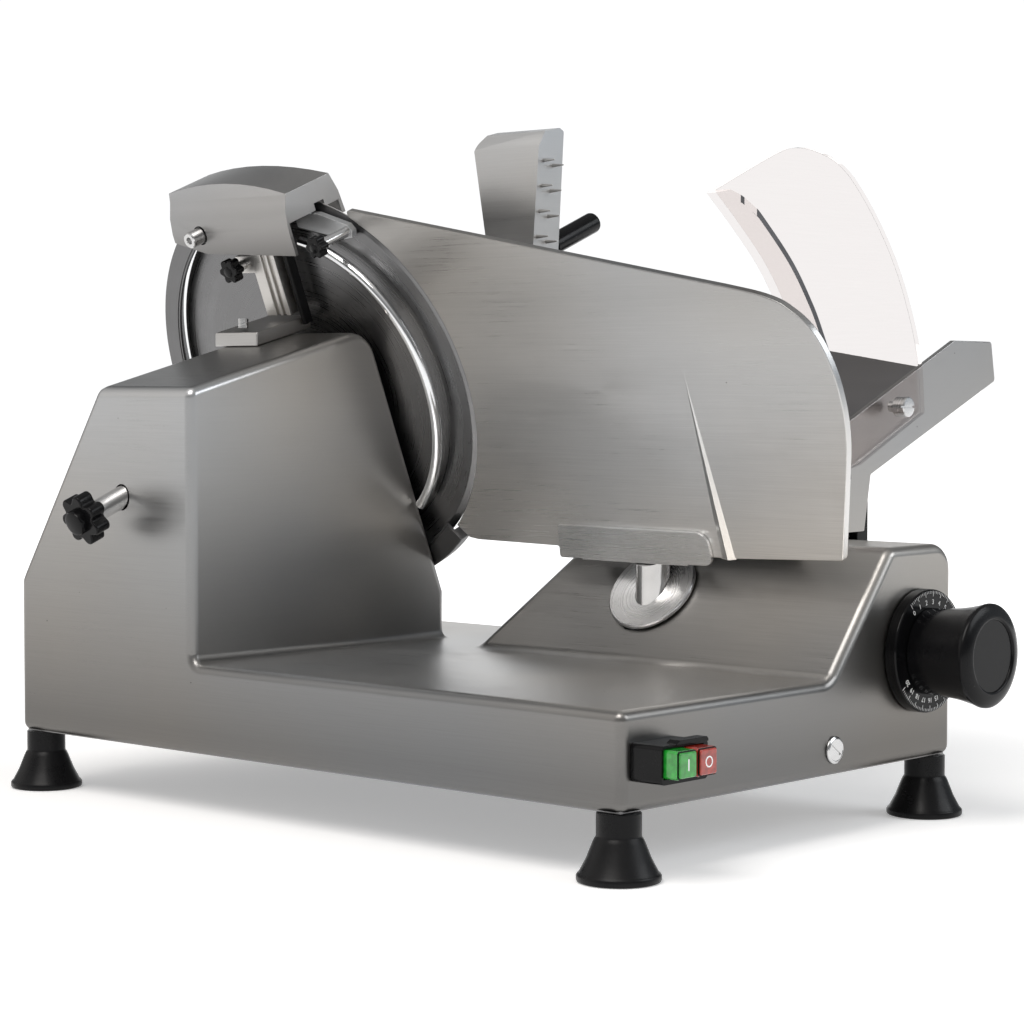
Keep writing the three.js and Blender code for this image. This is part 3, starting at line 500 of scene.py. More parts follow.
def lathe(name, along, profile, place=(0, 0), segments=96, matrix=BASE, arc=None):
    """A profile of (radius, distance) points turned about an axis, all round or over arc=(start, end)."""
    bm = bmesh.new()
    full = arc is None
    start, end = (0, 360) if full else arc
    turns = segments if full else segments + 1
    rings = []
    for i in range(turns):
        angle = math.radians(start + (end - start) * i / segments)
        ring = []
        for radius, height in profile:
            u = place[0] + radius * math.cos(angle)
            v = place[1] + radius * math.sin(angle)
            ring.append(bm.verts.new(spread(along, u, v, height)))
        rings.append(ring)
    sides = len(profile)
    closed = profile[0][0] > 0 and profile[-1][0] > 0
    spans = sides if closed else sides - 1
    for i in range(len(rings) if full else len(rings) - 1):
        first, second = rings[i], rings[(i + 1) % len(rings)]
        for k in range(spans):
            m = (k + 1) % sides
            bm.faces.new((first[k], first[m], second[m], second[k]))
    if not full:
        bm.faces.new(rings[0])
        bm.faces.new(list(reversed(rings[-1])))
    bmesh.ops.remove_doubles(bm, verts=bm.verts, dist=1e-4)
    bmesh.ops.dissolve_degenerate(bm, edges=bm.edges, dist=1e-5)
    return to_object(name, bm, matrix)


def rod(name, along, radius, low, high, place, segments=40, matrix=BASE):
    """A plain round bar or hole along one axis."""
    return lathe(name, along, [(0, low), (radius, low), (radius, high), (0, high)], place, segments, matrix)


def tube_along(name, points, radius, matrix, sides=24):
    """A round bar along a list of points, with flat ends."""
    bm = bmesh.new()
    path = [Vector(p) for p in points]
    across = None
    rings = []
    for i, point in enumerate(path):
        heading = (path[min(i + 1, len(path) - 1)] - path[max(i - 1, 0)]).normalized()
        if across is None:
            across = heading.orthogonal().normalized()
        across = (across - heading * across.dot(heading)).normalized()
        other = heading.cross(across)
        ring = []
        for k in range(sides):
            turn = 2 * math.pi * k / sides
            spoke = across * math.cos(turn) + other * math.sin(turn)
            ring.append(bm.verts.new(point + spoke * radius))
        rings.append(ring)
    for first, second in zip(rings, rings[1:]):
        for k in range(sides):
            m = (k + 1) % sides
            bm.faces.new((first[k], first[m], second[m], second[k]))
    bm.faces.new(list(reversed(rings[0])))
    bm.faces.new(rings[-1])
    return to_object(name, bm, matrix)


def cad_copy(name, node):
    """A piece that starts as a CAD node's own mesh, with its flat faces made whole again."""
    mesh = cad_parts[node].data.copy()
    made = add_object(name, mesh)
    bm = bmesh.new()
    bm.from_mesh(mesh)
    bmesh.ops.remove_doubles(bm, verts=bm.verts, dist=2e-6)
    bmesh.ops.dissolve_limit(bm, angle_limit=math.radians(1), verts=bm.verts, edges=bm.edges)
    bm.to_mesh(mesh)
    bm.free()
    mesh.materials.clear()
    if mesh.has_custom_normals:
        with bpy.context.temp_override(object=made, active_object=made):
            bpy.ops.mesh.customdata_custom_splitnormals_clear()
    return made


def apply_modifiers(thing):
    bpy.context.view_layer.update()
    graph = bpy.context.evaluated_depsgraph_get()
    mesh = bpy.data.meshes.new_from_object(thing.evaluated_get(graph))
    thing.modifiers.clear()
    thing.data = mesh
    return thing


def boolean(thing, other, operation):
    step = thing.modifiers.new(operation, "BOOLEAN")
    step.operation = operation
    step.solver = "EXACT"
    step.object = other
    apply_modifiers(thing)
    bpy.data.objects.remove(other)
    return thing


def merge_flats(thing, degrees=0.5):
    bm = bmesh.new()
    bm.from_mesh(thing.data)
    bmesh.ops.remove_doubles(bm, verts=bm.verts, dist=1e-6)
    bmesh.ops.dissolve_limit(bm, angle_limit=math.radians(degrees), verts=bm.verts, edges=bm.edges)
    bm.to_mesh(thing.data)
    bm.free()
    return thing


def bevel(thing, width, segments=3, angle=30, profile=0.5):
    step = thing.modifiers.new("edges", "BEVEL")
    step.width = width * MM
    step.segments = segments
    step.limit_method = "ANGLE"
    step.angle_limit = math.radians(angle)
    step.profile = profile
    step.use_clamp_overlap = True
    step.miter_outer = "MITER_ARC"
    return apply_modifiers(thing)


def smooth(thing, angle=35):
    thing.data.shade_smooth()
    thing.data.set_sharp_from_angle(angle=math.radians(angle))
    step = thing.modifiers.new("normals", "WEIGHTED_NORMAL")
    step.keep_sharp = True
    step.weight = 60
    return thing


def join_all(name, things):
    """Joins meshes into one piece, keeping each face's material."""
    bm = bmesh.new()
    materials = []
    for thing in things:
        mesh = thing.data
        first = len(bm.faces)
        bm.from_mesh(mesh)
        bm.faces.ensure_lookup_table()
        numbers = []
        for material in mesh.materials or [None]:
            if material not in materials:
                materials.append(material)
            numbers.append(materials.index(material))
        for face in bm.faces[first:]:
            face.material_index = numbers[min(face.material_index, len(numbers) - 1)]
        bpy.data.objects.remove(thing)
    mesh = bpy.data.meshes.new(name)
    bm.to_mesh(mesh)
    bm.free()
    for material in materials:
        mesh.materials.append(material)
    return add_object(name, mesh)


def paint(thing, material):
    thing.data.materials.clear()
    thing.data.materials.append(material)
    return thing


def place_piece(thing, body, slot, *nodes):
    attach(thing, body)
    if nodes:
        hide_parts(*nodes)
    return thing


def settle(thing, crease, body, slot, *nodes):
    """Smooths a piece up to the crease angle, and puts it in the place of its CAD nodes."""
    smooth(thing, crease)
    place_piece(thing, body, slot, *nodes)


def finish(thing, material, crease, body, slot, *nodes):
    settle(paint(thing, material), crease, body, slot, *nodes)


def refined(node, body, slot, material, width=0.8, segments=3, angle=28, crease=35):
    """The CAD node's shape with rounded edges and its own finish, in the node's place."""
    made = cad_copy(node + "_finished", node)
    bevel(made, width, segments, angle)
    finish(made, material, crease, body, slot, node)


# ---- the pieces
def make_materials():
    steel = (0.56, 0.55, 0.535)
    axis = Vector((math.cos(TILT), 0, math.sin(TILT)))
    centre = BLADE_FRAME @ Vector((300, BLADE_Y, BLADE_B))
    upright = Vector((0, 0, 1))
    post = BASE @ Vector((*POST, 0))
    seat = BASE @ Vector((*SEAT, 154.5))
    seat_axis = Vector((-math.sin(RAMP_TILT), 0, math.cos(RAMP_TILT)))
    return {
        # shell: painted shade, darker towards the worktop, and painted light on the faces that look up near
        # the deck
        "shell": brushed_metal("shell_steel", steel, 0.34, contrast=0.7, painted_height_shade=(0.06, 0.29, 0.3, 0.98),
                               painted_top_face_shade=(0.14, 0.3, 1.0, 0.45)),
        "sheet": brushed_metal("sheet_steel", steel, 0.33, tilted=True, contrast=0.6),
        # plate: painted light, lighter towards its lower edge
        "plate": brushed_metal("plate_aluminium", (0.54, 0.53, 0.515), 0.33, tilted=True, grain="y",
                               contrast=0.7, painted_height_shade=(0.2, 0.37, 1.55, 0.78)),
        "bracket": brushed_metal("bracket_steel", (0.86, 0.85, 0.83), 0.3, tilted=True, grain="y",
                                 contrast=0.4),
        "panel": brushed_metal("panel_steel", (0.42, 0.415, 0.41), 0.35, tilted=True, contrast=0.6),
        "dark": brushed_metal("dark_steel", (0.25, 0.25, 0.255), 0.42),
        "tray": brushed_metal("tray_steel", (0.27, 0.27, 0.275), 0.4, tilted=True, grain="y", contrast=1.4),
        # cap: painted shade on its lower part
        "cap": brushed_metal("cap_steel", (0.46, 0.45, 0.44), 0.37, tilted=True, contrast=0.25,
                             anisotropy=0.1, painted_height_shade=(0.405, 0.445, 0.4, 0.98)),
        "blade": turned_metal("blade_steel", (0.2, 0.2, 0.203), 0.3, centre, axis, mottling=0.03),
        "ring": turned_metal("ring_steel", (0.19, 0.19, 0.193), 0.42, centre, axis, mottling=0.03),
        "cover": turned_metal("cover_metal", (0.6, 0.59, 0.58), 0.3, centre, axis),
        "dish": turned_metal("dish_steel", (0.74, 0.74, 0.745), 0.27, seat, seat_axis, bump=0.000002,
                             mottling=0.01),
        "post": turned_metal("post_steel", (0.7, 0.69, 0.68), 0.16, post, upright, bump=0.000004,
                             mottling=0.02),
        "chrome": turned_metal("chrome", (0.78, 0.79, 0.8), 0.07, centre, axis, ring_scale=300,
                               mottling=0.02),
        "bar": turned_metal("bar_steel", (0.66, 0.66, 0.66), 0.2, centre, axis, ring_scale=500,
                            mottling=0.04),
        "cast": moulded_metal("cast_metal", (0.6, 0.61, 0.62), 0.42),
        "black": moulded_plastic("black_plastic", (0.003, 0.003, 0.0034), 0.14, coat=0),
        "knob": moulded_plastic("knob_plastic", (0.0035, 0.0035, 0.004), 0.2, coat=0, texture=0.00004),
        "rubber": moulded_plastic("foot_rubber", (0.005, 0.005, 0.0055), 0.3, coat=0, texture=0.00005),
        # both caps carry a faint painted glow
        "green": lens_plastic("green_lens", (0.015, 0.33, 0.03), 0.06),
        "red": lens_plastic("red_lens", (0.4, 0.03, 0.016), 0.04),
        "white": moulded_plastic("white_print", (0.8, 0.8, 0.79), 0.5, coat=0),
        "clear": clear_sheet("clear_acrylic", (0.875, 0.84, 0.828)),
        # painted shade: a dark opaque paint for the clear guard's edges
        "clear_edge_painted_shade": moulded_plastic("clear_acrylic_edge_painted_shade", (0.09, 0.09, 0.095), 0.25, coat=0),
        "stone": abrasive("grit_stone", (0.62, 0.58, 0.5)),
    }


def slant_x(z, inset=0):
    return (WALL_A - inset - z * math.sin(TILT)) / math.cos(TILT)


def tower_block(inset, floor, corner_radius):
    roof = lambda x: ROOF_Z - inset + ROOF_SLOPE * x
    corner_x = (WALL_A - inset - (ROOF_Z - inset) * math.sin(TILT)) / (
        math.cos(TILT) + ROOF_SLOPE * math.sin(TILT))
    knee = slant_x(KNEE_Z, inset)
    side = rounded([
        (inset, floor), (knee, floor), (knee, KNEE_Z), (corner_x, roof(corner_x), corner_radius),
        (inset, roof(inset)),
    ], 8)
    body = prism("tower", "y", side, TOWER_FRONT + inset, LENGTH - inset)
    slope = (ROOF_Z - BACK_FOOT_Z) / (LENGTH - BACK_ROOF_Y)
    lift = 200
    wedge = prism("wedge", "x", [
        (LENGTH + 1, BACK_FOOT_Z - inset - slope), (LENGTH + 1, ROOF_Z + lift),
        (BACK_ROOF_Y - lift / slope, ROOF_Z + lift - inset),
    ], -1, WIDTH, Matrix.Identity(4))
    shear = Matrix.Identity(4)
    shear[2][0] = ROOF_SLOPE
    wedge.data.transform(BASE @ shear)
    return boolean(body, wedge, "DIFFERENCE")


def ramp_block(inset, floor):
    foot = RAMP_FOOT + inset * 1.2
    side = rounded([
        (foot, floor), (WIDTH - inset, floor), (WIDTH - inset, RAMP_Z - inset, 20 - inset),
        (RAMP_TOP + inset * 0.6, RAMP_Z - inset), (foot, DECK),
    ], 8)
    back_foot = RAMP_BACK_FOOT - inset * 1.2
    body = prism("ramp", "y", side, inset, back_foot)
    slope = (RAMP_Z - DECK) / (RAMP_BACK_FOOT - RAMP_BACK_TOP)
    over = 30
    wedge = prism("wedge", "x", [
        (back_foot, DECK), (back_foot + 60, DECK), (back_foot + 60, RAMP_Z + over),
        (back_foot - (RAMP_Z + over - DECK) / slope, RAMP_Z + over),
    ], -1, WIDTH + 1)
    return boolean(body, wedge, "DIFFERENCE")


def box_between(name, low, high, matrix=BASE):
    corners = [(low[0], low[1]), (high[0], low[1]), (high[0], high[1]), (low[0], high[1])]
    return prism(name, "z", corners, low[2], high[2], matrix)


def base_shell(paints):
    shell = box_between("base_shell_finished", (0, 0, BOTTOM), (WIDTH, LENGTH, DECK))
    boolean(shell, tower_block(0, BOTTOM, 25), "UNION")
    boolean(shell, ramp_block(0, BOTTOM), "UNION")
    merge_flats(shell)
    bevel(shell, 7, 5, 28)
    room = box_between("room", (SHEET, SHEET, BOTTOM - 12), (WIDTH - SHEET, LENGTH - SHEET, DECK - SHEET))
    boolean(room, tower_block(SHEET, BOTTOM + 5, 20), "UNION")
    boolean(room, ramp_block(SHEET, BOTTOM + 5), "UNION")
    boolean(shell, room, "DIFFERENCE")
    cutters = [
        rod("knob_shaft_hole", "y", 8, -10, 12, (KNOB_X, KNOB_Z), 32),
        rod("cable_hole", "y", 8, LENGTH - 12, LENGTH + 10, (80, 78), 32),
        rod("bearing_hole", "x", 28.5, WALL_A - 12, WALL_A + 20, (BLADE_Y, BLADE_B), 64, BLADE_FRAME),
        rod("tie_rod_hole", "x", 9, 60, 100, (BLADE_Y, BLADE_B), 48, BLADE_FRAME),
        box_between("arm_slot", (WIDTH - SHEET - 1, 80, 62), (WIDTH + 10, 440, 90)),
        box_between("wire_hole", (18, -10, 70), (42, SHEET + 1, 86)),
        prism("post_slot", "z", POST_SLOT, DECK - 10, RAMP_Z + 5),
    ]
    for cutter in cutters:
        boolean(shell, cutter, "DIFFERENCE")
    merge_flats(shell, 0.4)
    finish(shell, paints["shell"], 32, "base", "brushed_steel", "base_shell")


def feet(paints):
    profile = [
        (0, 0), (24.5, 0), (26.4, 0.6), (27, 1.6), (27, 4.2), (26.2, 5.4), (25.2, 6.2),
        (20.6, 15), (16.6, 25.2), (15.4, 27.6), (14.7, 28.4), (14.5, 29.4), (14.5, 43.2), (14.2, 43.7),
        (0, 43.7),
    ]
    for node in [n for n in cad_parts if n.startswith("foot_") and n != "foot_bolt"]:
        low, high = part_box(node)
        middle = BASE.inverted() @ ((low + high) / 2)
        foot = lathe(node + "_rubber", "z", profile, (middle.x, middle.y), 96)
        finish(foot, paints["rubber"], 40, "base", "rubber", node)


def rounded_box(name, x0, x1, z0, z1, radius, front, back):
    corners = [(x0, z0, radius), (x1, z0, radius), (x1, z1, radius), (x0, z1, radius)]
    return prism(name, "y", rounded(corners), front, back)


def push_button(node, body, slot, material, sign, paints):
    """A cap with a faint painted glow on a wider skirt, with a dark line between them and a white sign."""
    low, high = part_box(node)
    low, high = BASE.inverted() @ low, BASE.inverted() @ high
    x0, x1, z0, z1, y0 = low.x, high.x, low.z, high.z, low.y
    cap = rounded_box("cap", x0 + 1, x1 - 1, z0 + 1, z1 - 1, 1.5, y0, high.y)
    bevel(cap, 0.9, 3)
    paint(cap, material)
    skirt = rounded_box("skirt", x0, x1, z0, z1, 2, y0 + 1.9, high.y - 0.2)
    bevel(skirt, 0.4, 2)
    paint(skirt, material)
    line = rounded_box("line", x0 + 0.2, x1 - 0.2, z0 + 0.2, z1 - 0.2, 2, y0 + 1.3, y0 + 1.9)
    paint(line, paints["black"])
    mark = paint(sign(((x0 + x1) / 2, (z0 + z1) / 2), y0), paints["white"])
    settle(join_all(node + "_painted_glow", [cap, skirt, line, mark]), 40, body, slot, node)


def bar_sign(middle, front):
    x, z = middle
    return box_between("sign", (x - 0.55, front - 0.12, z - 3.6), (x + 0.55, front + 0.3, z + 3.6))


def ring_sign(middle, front):
    low, high = front - 0.12, front + 0.3
    return lathe("sign", "y", [(2.7, low), (3.6, low), (3.6, high), (2.7, high)], middle, 40)


def switch(paints):
    refined("switch_housing", "base", "black_plastic", paints["black"], 1.2, 3)
    push_button("start_button", "start_button", "green_cap", paints["green"], bar_sign, paints)
    push_button("stop_button", "stop_button", "red_cap", paints["red"], ring_sign, paints)


def front_plug(paints):
    plug = lathe("front_plug_finished", "y", [
        (0, -0.3), (9.3, -0.3), (9.5, -0.8), (9.3, -1.5), (8.4, -2.2), (7.6, -2.4), (7.2, -2.0), (0, -1.9),
    ], PLUG, 64)
    x, z = PLUG
    slot = box_between("slot", (x - 6, -4, z - 0.8), (x + 6, -1.3, z + 0.8))
    centre = Matrix.Translation(BASE @ Vector((x, 0, z)))
    slot.data.transform(centre @ Matrix.Rotation(math.radians(35), 4, "Y") @ centre.inverted())
    boolean(plug, slot, "DIFFERENCE")
    finish(plug, paints["bar"], 35, "base", "chrome", "front_plug")


def print_text(text, size, matrix):
    """Raised lettering as a mesh; matrix places its own X and Y plane."""
    curve = bpy.data.curves.new("digits", "FONT")
    curve.body = text
    curve.size = size
    curve.extrude = 0.12
    curve.align_x = "CENTER"
    curve.align_y = "CENTER"
    source = add_object("digits", curve)
    bpy.context.view_layer.update()
    graph = bpy.context.evaluated_depsgraph_get()
    mesh = bpy.data.meshes.new_from_object(source.evaluated_get(graph))
    bpy.data.objects.remove(source)
    made = add_object("digits", mesh)
    mesh.transform(matrix)
    return made


def thickness_knob(paints):
    place = (KNOB_X, KNOB_Z)
    ring = lathe("ring", "y", [
        (10, -1), (43, -1), (43.6, -1.6), (43.6, -8.6), (43.3, -9.4), (42.6, -10), (10, -10),
    ], place, 128)
    parts = [paint(ring, paints["black"])]
    for i in range(5 * DIAL_NUMBERS + 1):
        turn = math.radians(DIAL_START + DIAL_STEP * i / 5)
        inner, half = (40.6, 0.12) if i % 5 else (38.6, 0.17)
        face = BASE @ Matrix.Translation((KNOB_X, 0, KNOB_Z)) @ Matrix.Rotation(turn, 4, "Y")
        mark = box_between("mark", (-half, -10.12, inner), (half, -9.8, 42.4), face)
        parts.append(paint(mark, paints["white"]))
        if i % 5 == 0:
            stand = Matrix.Translation((0, -10.05, 34.6)) @ Matrix.Rotation(math.pi / 2, 4, "X")
            label = print_text(str(i // 5), 5.0, face @ stand)
            parts.append(paint(label, paints["white"]))
    settle(join_all("dial_ring_marked", parts), 40, "index_knob", "black_plastic", "dial_ring")
    knob = lathe("index_knob_moulded", "y", [
        (0, -10.3), (30, -10.3), (30.5, -10.8), (30.3, -16), (30.7, -22), (31.3, -29), (32, -36), (33.1, -43),
        (34.6, -50), (35.6, -54.2), (36.4, -56.4), (36.3, -58.2), (35.4, -59.3), (33, -60.6), (30, -61.6),
        (27, -62), (25.9, -61.9), (25.2, -61.3), (25, -60.6), (0, -60.6),
    ], place, 144)
    finish(knob, paints["knob"], 40, "index_knob", "black_plastic", "index_knob")


def gauge_outline():
    def arc(degrees):
        turn = math.radians(degrees)
        return (BLADE_Y + GAUGE_ARC * math.cos(turn), BLADE_B + GAUGE_ARC * math.sin(turn))

    corners = [
        (-5, 140), (5, 106.7, 40), (13, 79.6, 3), (106, 76.5), (272.5, 76.4), (273.5, 79), (355, 80.5, 3),
        (364, 82, 3), (373, 91, 2), arc(228.8),
    ]
    corners += [arc(degrees) for degrees in range(228, 125, -2)]
    corners += [arc(125), (397, 346, 2), (397, 350.9, 2), (60, 282.2)]
    corners += spline([(60, 282.2), (34, 276.2), (17.7, 270.2), (9, 264.2), (1.5, 257.6), (-4.8, 249.5),
                       (-9.6, 239.5), (-13, 227.6), (-15.3, 214.5), (-16, 199.5), (-15.3, 185), (-12, 165),
                       (-5, 140)], 4)[1:-1]
    return rounded(corners, 14)


def gauge(paints):
    plate = prism("plate", "x", gauge_outline(), GAUGE_BACK, GAUGE_FRONT, BLADE_FRAME)
    bevel(plate, 0.7, 2, 40)
    halves = [paint(thing, paints["plate"]) for thing in (plate, gauge_rib())]
    settle(join_all("gauge_plate_finished", halves), 20, "gauge", "anodised", "gauge_plate")
    refined("gauge_bracket", "gauge", "brushed_steel", paints["bracket"], 0.7, 3)


def gauge_post(paints):
    """The polished post, cut off where the bracket holds it, and the dish it stands in."""
    post = rod("post", "z", POST_RADIUS, 88, 215, POST, 96)
    above = box_between("above", (150, 100, 69.4), (450, 300, 330), BLADE_FRAME)
    boolean(post, above, "DIFFERENCE")
    post.name = "gauge_post_finished"
    finish(post, paints["post"], 40, "gauge", "chrome", "gauge_post")
    height = DECK + (POST[0] - RAMP_FOOT) * math.tan(RAMP_TILT) - 2.6
    seat = Matrix.Translation((*SEAT, height)) @ Matrix.Rotation(-RAMP_TILT, 4, "Y")
    dish = lathe("post_rosette_finished", "z", [
        (10, 1), (34.6, 1), (35.6, 1.6), (36, 2.6), (35.7, 4.2), (34.8, 5), (33.6, 4.9), (29, 4.3),
        (21, 3.0), (14, 1.8), (10, 1.8),
    ], (0, 0), 128, BASE @ seat)
    boolean(dish, rod("hole", "z", POST_RADIUS + 0.3, 60, 260, POST, 96), "DIFFERENCE")
    finish(dish, paints["dish"], 40, "gauge", "brushed_steel", "post_rosette")


def gauge_rib():
    """The tapering pressed crease on the plate's near side."""
    bm = bmesh.new()
    top = (112, 237)
    low_left, low_right, ridge = (119.5, 76.1), (106, 76.1), (112.5, 76.1)
    back, proud = 305.2, 303.2
    t = bm.verts.new((back, *top))
    a = bm.verts.new((back, *low_left))
    b = bm.verts.new((back, *low_right))
    c = bm.verts.new((proud, *ridge))
    for ring in ((t, a, c), (t, c, b), (a, b, c), (t, b, a)):
        bm.faces.new(ring)
    return to_object("rib", bm, BLADE_FRAME)


def blade_unit(paints):
    place = (BLADE_Y, BLADE_B)
    turned = lambda name, profile, segments=192, arc=None: lathe(
        name, "x", profile, place, segments, BLADE_FRAME, arc)
    blade = turned("blade_ground", [
        (26, 304.5), (100, 304.5), (116, 304.55), (120, 304.9), (124, 305.8), (128, 306.4), (146, 308),
        (150, 308.6), (154.6, 310.5), (155, 311), (150, 310.6), (124, 309), (26, 309),
    ], 256)
    finish(blade, paints["blade"], 12, "blade", "chrome", "blade")
    cover = turned("blade_cover_finished", [
        (0, 313.5), (112, 313.5), (117.4, 312.1), (118.4, 312.0), (119, 312.5), (118.6, 313.2), (113, 316),
        (108, 316.9), (44, 318.1), (40, 318.5), (0, 318.5),
    ])
    finish(cover, paints["cover"], 30, "base", "anodised", "blade_cover")
    back = WALL_A + 0.4
    ring = turned("ring_guard_finished", [
        (151, back), (152, back), (152.3, back + 0.7), (153.1, back + 0.7), (153.4, back), (167.6, back),
        (168.5, back + 0.9), (168.5, 311.8), (167.8, 312.5), (159.2, 312.5),
        (158.5, 311.8), (158.5, back + 2.6), (151.4, back + 2.6), (151, back + 2.2),
    ], 160, (229.5, 426))
    finish(ring, paints["ring"], 30, "base", "brushed_steel", "ring_guard")
    tie = turned("tie_rod_finished", [
        (0, 58), (7.4, 58), (8, 58.6), (8, 91.4), (7.4, 92), (5.5, 92), (5.5, 311.4), (4.9, 312), (0, 312),
    ], 64)
    finish(tie, paints["bar"], 35, "tie_rod", "brushed_steel", "tie_rod")
    knob = star_knob("tie_rod_knob_moulded", 19.5, 7, 42, 55, 9.5, 36, 57.7, place, paints["knob"])
    place_piece(knob, "tie_rod", "black_plastic", "tie_rod_knob")


def star_knob(name, radius, lobes, low, high, hub, hub_low, hub_high, place, material):
    """A lobed grip with a round hub, about the blade frame's X axis."""
    points = []
    count = lobes * 24
    for i in range(count):
        turn = 2 * math.pi * i / count
        wave = math.cos(lobes * turn)
        reach = min(radius, radius * (0.875 + 0.125 * wave - 0.02 * math.cos(2 * lobes * turn)))
        points.append((place[0] + reach * math.cos(turn), place[1] + reach * math.sin(turn)))
    grip = prism("grip", "x", points, low, high, BLADE_FRAME)
    bevel(grip, 0.12 * (high - low), 3, 40)
    middle = lathe("hub", "x", [
        (0, hub_low), (hub * 0.7, hub_low), (hub * 0.92, hub_low + 0.8), (hub, hub_low + 2.4),
        (hub, hub_high - 0.8), (hub * 0.93, hub_high), (0, hub_high),
    ], place, 64, BLADE_FRAME)
    return smooth(join_all(name, [paint(grip, material), paint(middle, material)]), 40)


def slice_deflector(paints):
    points = []
    for i in range(61):
        turn = math.radians(106 + (229.5 - 106) * i / 60)
        points.append((WALL_A - 5.4, BLADE_Y + 127 * math.cos(turn), BLADE_B + 127 * math.sin(turn)))
    bar = tube_along("slice_deflector_polished", points, 4, BLADE_FRAME, 32)
    finish(bar, paints["chrome"], 40, "base", "chrome", "slice_deflector")


def sharpener(paints):
    refined("sharpener_cap", "sharpener", "brushed_steel", paints["cap"], 1.6, 3, 30, 40)
    refined("sharpener_arm", "sharpener", "cast_metal", paints["cast"], 1.0, 3)
    refined("sharpener_column", "base", "brushed_steel", paints["sheet"], 0.8, 3)
    refined("sharpener_foot", "base", "brushed_steel", paints["shell"], 1.2, 3)
    refined("wiper_strip", "base", "rubber", paints["rubber"], 0.7, 3)
    black, bright = paints["knob"], paints["bar"]
    stemmed_knob("trim_knob", star_knob("grip", 8.8, 6, 261, 269.5, 4.4, 260.2, 270.0, TRIM, black),
                 rod("stem", "x", 4, 269, 297.7, TRIM, 40, BLADE_FRAME), bright)
    stemmed_knob("lock_knob", star_knob("grip", 10, 6, 268, 277, 5, 267.2, 277.4, LOCK, black),
                 rod("stem", "x", 4, 277, 284.7, LOCK, 40, BLADE_FRAME), bright)


def stemmed_knob(node, grip, stem, stem_paint):
    knob = join_all(node + "_moulded", [grip, paint(stem, stem_paint)])
    settle(knob, 40, node, "black_plastic", node)


def stones(paints):
    """The plunger that presses the grinding stone to the blade, and the two stones."""
    plunger = lathe("grind_plunger_finished", "x", [
        (0, 262), (2.4, 262), (2.6, 261.6), (2.6, 258.4), (3, 258), (5.4, 258), (6, 258.6), (6.3, 260),
        (6.3, 289.6), (5.9, 290), (0, 290),
    ], PLUNGER, 64, BLADE_FRAME)
    finish(plunger, paints["bar"], 30, "grind_plunger", "chrome", "grind_plunger")
    stone = lathe("grinding_stone_grit", "x", [
        (0, 290.3), (5, 290.3), (5, 295), (8.2, 295), (8.6, 295.4), (8.6, 301.1), (8.2, 301.5), (5.9, 301.5),
        (5.5, 301.1), (5.5, 299), (0, 299),
    ], PLUNGER, 64, BLADE_FRAME)
    finish(stone, paints["stone"], 30, "grinding_stone", "stone", "grinding_stone")
    stone = lathe("honing_stone_grit", "x", [
        (0, 312.2), (8.6, 312.2), (9, 312.6), (9, 315.2), (8.6, 315.6), (4, 315.6), (4, 317.4), (0, 317.4),
    ], HONING, 64, BLADE_FRAME)
    finish(stone, paints["stone"], 30, "honing_stone", "stone", "honing_stone")


def carriage(paints):
    refined("tray_floor", "carriage", "anodised", paints["tray"], 0.8, 3)
    refined("side_panel", "carriage", "anodised", paints["panel"], 0.8, 3)
    refined("arm_cover", "carriage", "black_plastic", paints["black"], 1.5, 3)
    refined("rod_brackets", "carriage", "brushed_steel", paints["sheet"], 0.8, 3, 40)


def spline(knots, steps):
    """A smooth curve through the knots, with steps points to each span."""
    knots = [Vector(k) for k in knots]
    padded = [2 * knots[0] - knots[1], *knots, 2 * knots[-1] - knots[-2]]
    points = []
    for i in range(1, len(padded) - 2):
        p0, p1, p2, p3 = padded[i - 1:i + 3]
        for k in range(steps):
            t = k / steps
            points.append(0.5 * (2 * p1 + (p2 - p0) * t + (2 * p0 - 5 * p1 + 4 * p2 - p3) * t * t
                                 + (3 * p1 - p0 - 3 * p2 + p3) * t ** 3))
    points.append(knots[-1])
    return points


def clear_guard(paints):
    inner, crown = spline(GUARD_EDGE, 4), spline(GUARD_CROWN, 4)
    outline = [*inner, *crown[1:], Vector((427.6, 280)), Vector((362, 250.7))]
    flat = prism("flat", "y", outline, GUARD_NEAR, GUARD_FAR)
    offset = [p + Vector((4, 2)) for p in reversed(inner)]
    flange = prism("flange", "y", [*inner, *offset], 45, GUARD_FAR)
    plan = [(160, 79), (170, 78), (181, 75, 6), (184, 63), (192, 54.5, 6), (204, 50, 8), (330, 50), (330, 79)]
    boolean(flange, prism("plan", "z", rounded(plan), 200, 500), "INTERSECT")
    boolean(flat, flange, "UNION")
    merge_flats(flat, 0.2)
    bevel(flat, 0.7, 2, 40)
    flat.name = "clear_guard_formed"
    paint(flat, paints["clear"])
    # Painted shade: the edge faces and the flange's near end take the dark opaque paint, for how the clear
    # sheet looks dark edge-on.
    flat.data.materials.append(paints["clear_edge_painted_shade"])
    to_base = BASE.inverted()
    for face in flat.data.polygons:
        reach = [(to_base @ flat.data.vertices[v].co).y for v in face.vertices]
        edge = abs(face.normal.y) < 0.97 and max(reach) - min(reach) < 1.5
        face.material_index = 1 if edge or max(reach) < 51 else 0
    settle(flat, 35, "carriage", "clear_acrylic", "clear_guard")


def guard_screw(paints):
    screw = lathe("guard_screw_finished", "y", [
        (0, 73.6), (4, 73.6), (4, 68), (6.8, 68), (7.5, 67.2), (7.5, 58), (6.8, 57.2), (6, 57), (0, 57),
    ], GUARD_SCREW, 64)
    x, z = GUARD_SCREW
    slot = box_between("slot", (x - 9, 54, z - 0.8), (x + 9, 59.4, z + 0.8))
    boolean(screw, slot, "DIFFERENCE")
    finish(screw, paints["bar"], 30, "guard_screw", "chrome", "guard_screw")


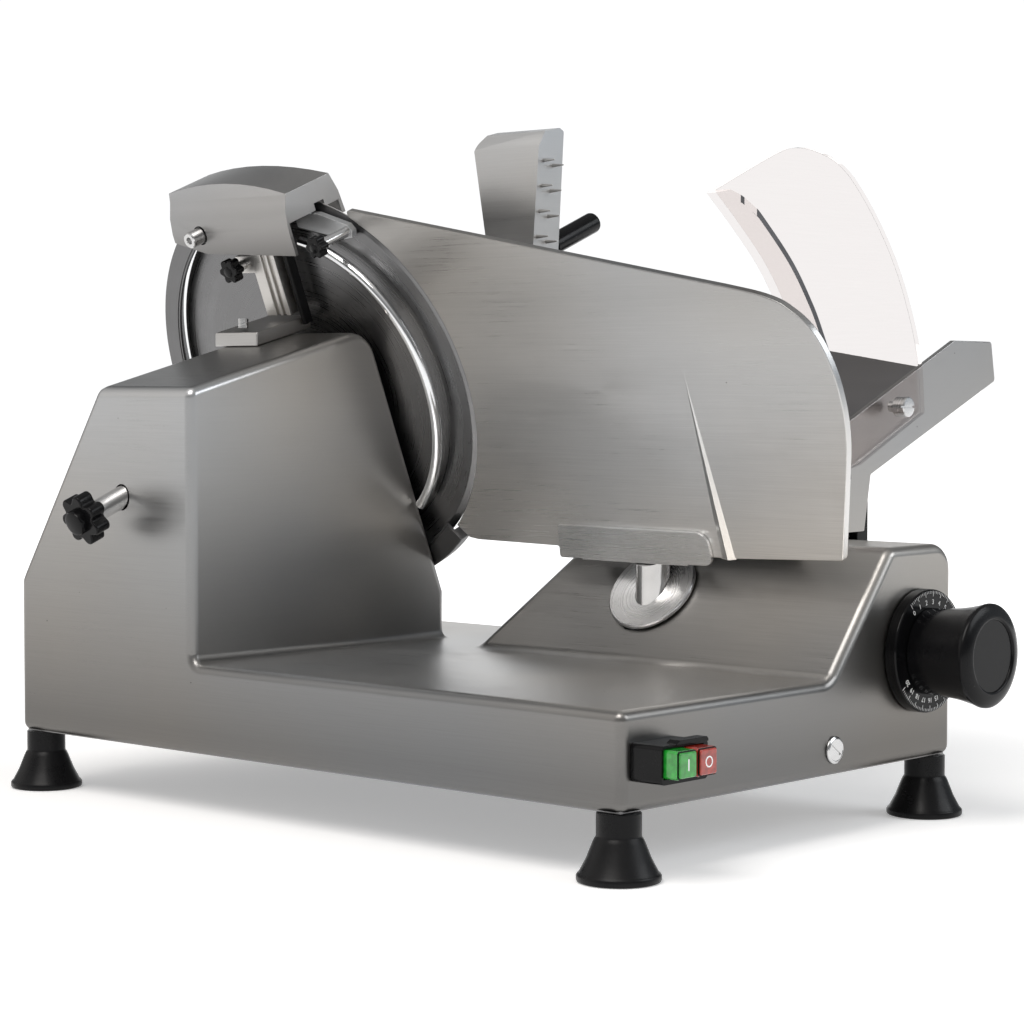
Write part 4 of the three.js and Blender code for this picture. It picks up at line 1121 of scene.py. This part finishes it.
def pusher(paints):
    refined("pusher_body", "pusher", "brushed_steel", paints["sheet"], 0.9, 2, 35, 30)
    handle = lathe("pusher_handle_moulded", "x", [
        (0, 423), (7.8, 423), (8.2, 423.5), (8.2, 474.4), (7.7, 476.1), (6.4, 477), (0, 477),
    ], PUSHER_GRIP, 64, BLADE_FRAME)
    finish(handle, paints["knob"], 35, "pusher", "black_plastic", "pusher_handle")
    bar = lathe("pusher_rod_finished", "x", [
        (0, 326), (6.4, 326), (7, 326.6), (7, 635.4), (6.4, 636), (0, 636),
    ], PUSHER_ROD, 64, BLADE_FRAME)
    finish(bar, paints["bar"], 35, "carriage", "chrome", "pusher_rod")
    bush = lathe("pusher_bush_finished", "x", [
        (7.3, 382), (12.2, 382), (13, 382.8), (13, 387.7), (12.2, 388.5), (7.3, 388.5),
    ], PUSHER_ROD, 64, BLADE_FRAME)
    finish(bush, paints["cast"], 35, "pusher_bush", "cast_metal", "pusher_bush")


def hidden_works(paints):
    """CAD nodes whose shape is right as it stands: each gets its finish."""
    finishes = {
        "dark": ["bottom_plate", "motor_body", "index_shaft", "carriage_arm"],
        "cast": ["bearing_housing", "blade_pulley", "motor_pulley", "slider_block", "gauge_slide_block",
                 "blade_hub"],
        "bar": ["gauge_guide_bar", "carriage_rail", "motor_shaft", "front_bearing", "rear_bearing",
                "foot_bolt"],
        "black": ["control_box", "cable_gland"],
        "rubber": ["drive_belt"],
    }
    for name, nodes in finishes.items():
        for node in nodes:
            paint(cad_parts[node], paints[name])


make_camera()
make_room()
make_floor()
soft_box("key", (-1.6, -0.4, 2.4), (0, 0, 0.2), (1.6, 1.6), 42, (1.0, 0.97, 0.94))
soft_box("fill", (1.2, -2.2, 1.6), (0, 0, 0.2), (1.8, 1.2), 22, (0.94, 0.97, 1.0))
PAINTS = make_materials()
for build in (base_shell, feet, switch, front_plug, thickness_knob, gauge, gauge_post, blade_unit,
              slice_deflector, sharpener, stones, carriage, clear_guard, guard_screw, pusher, hidden_works):
    build(PAINTS)

bpy.context.scene.view_settings.view_transform = "Standard"
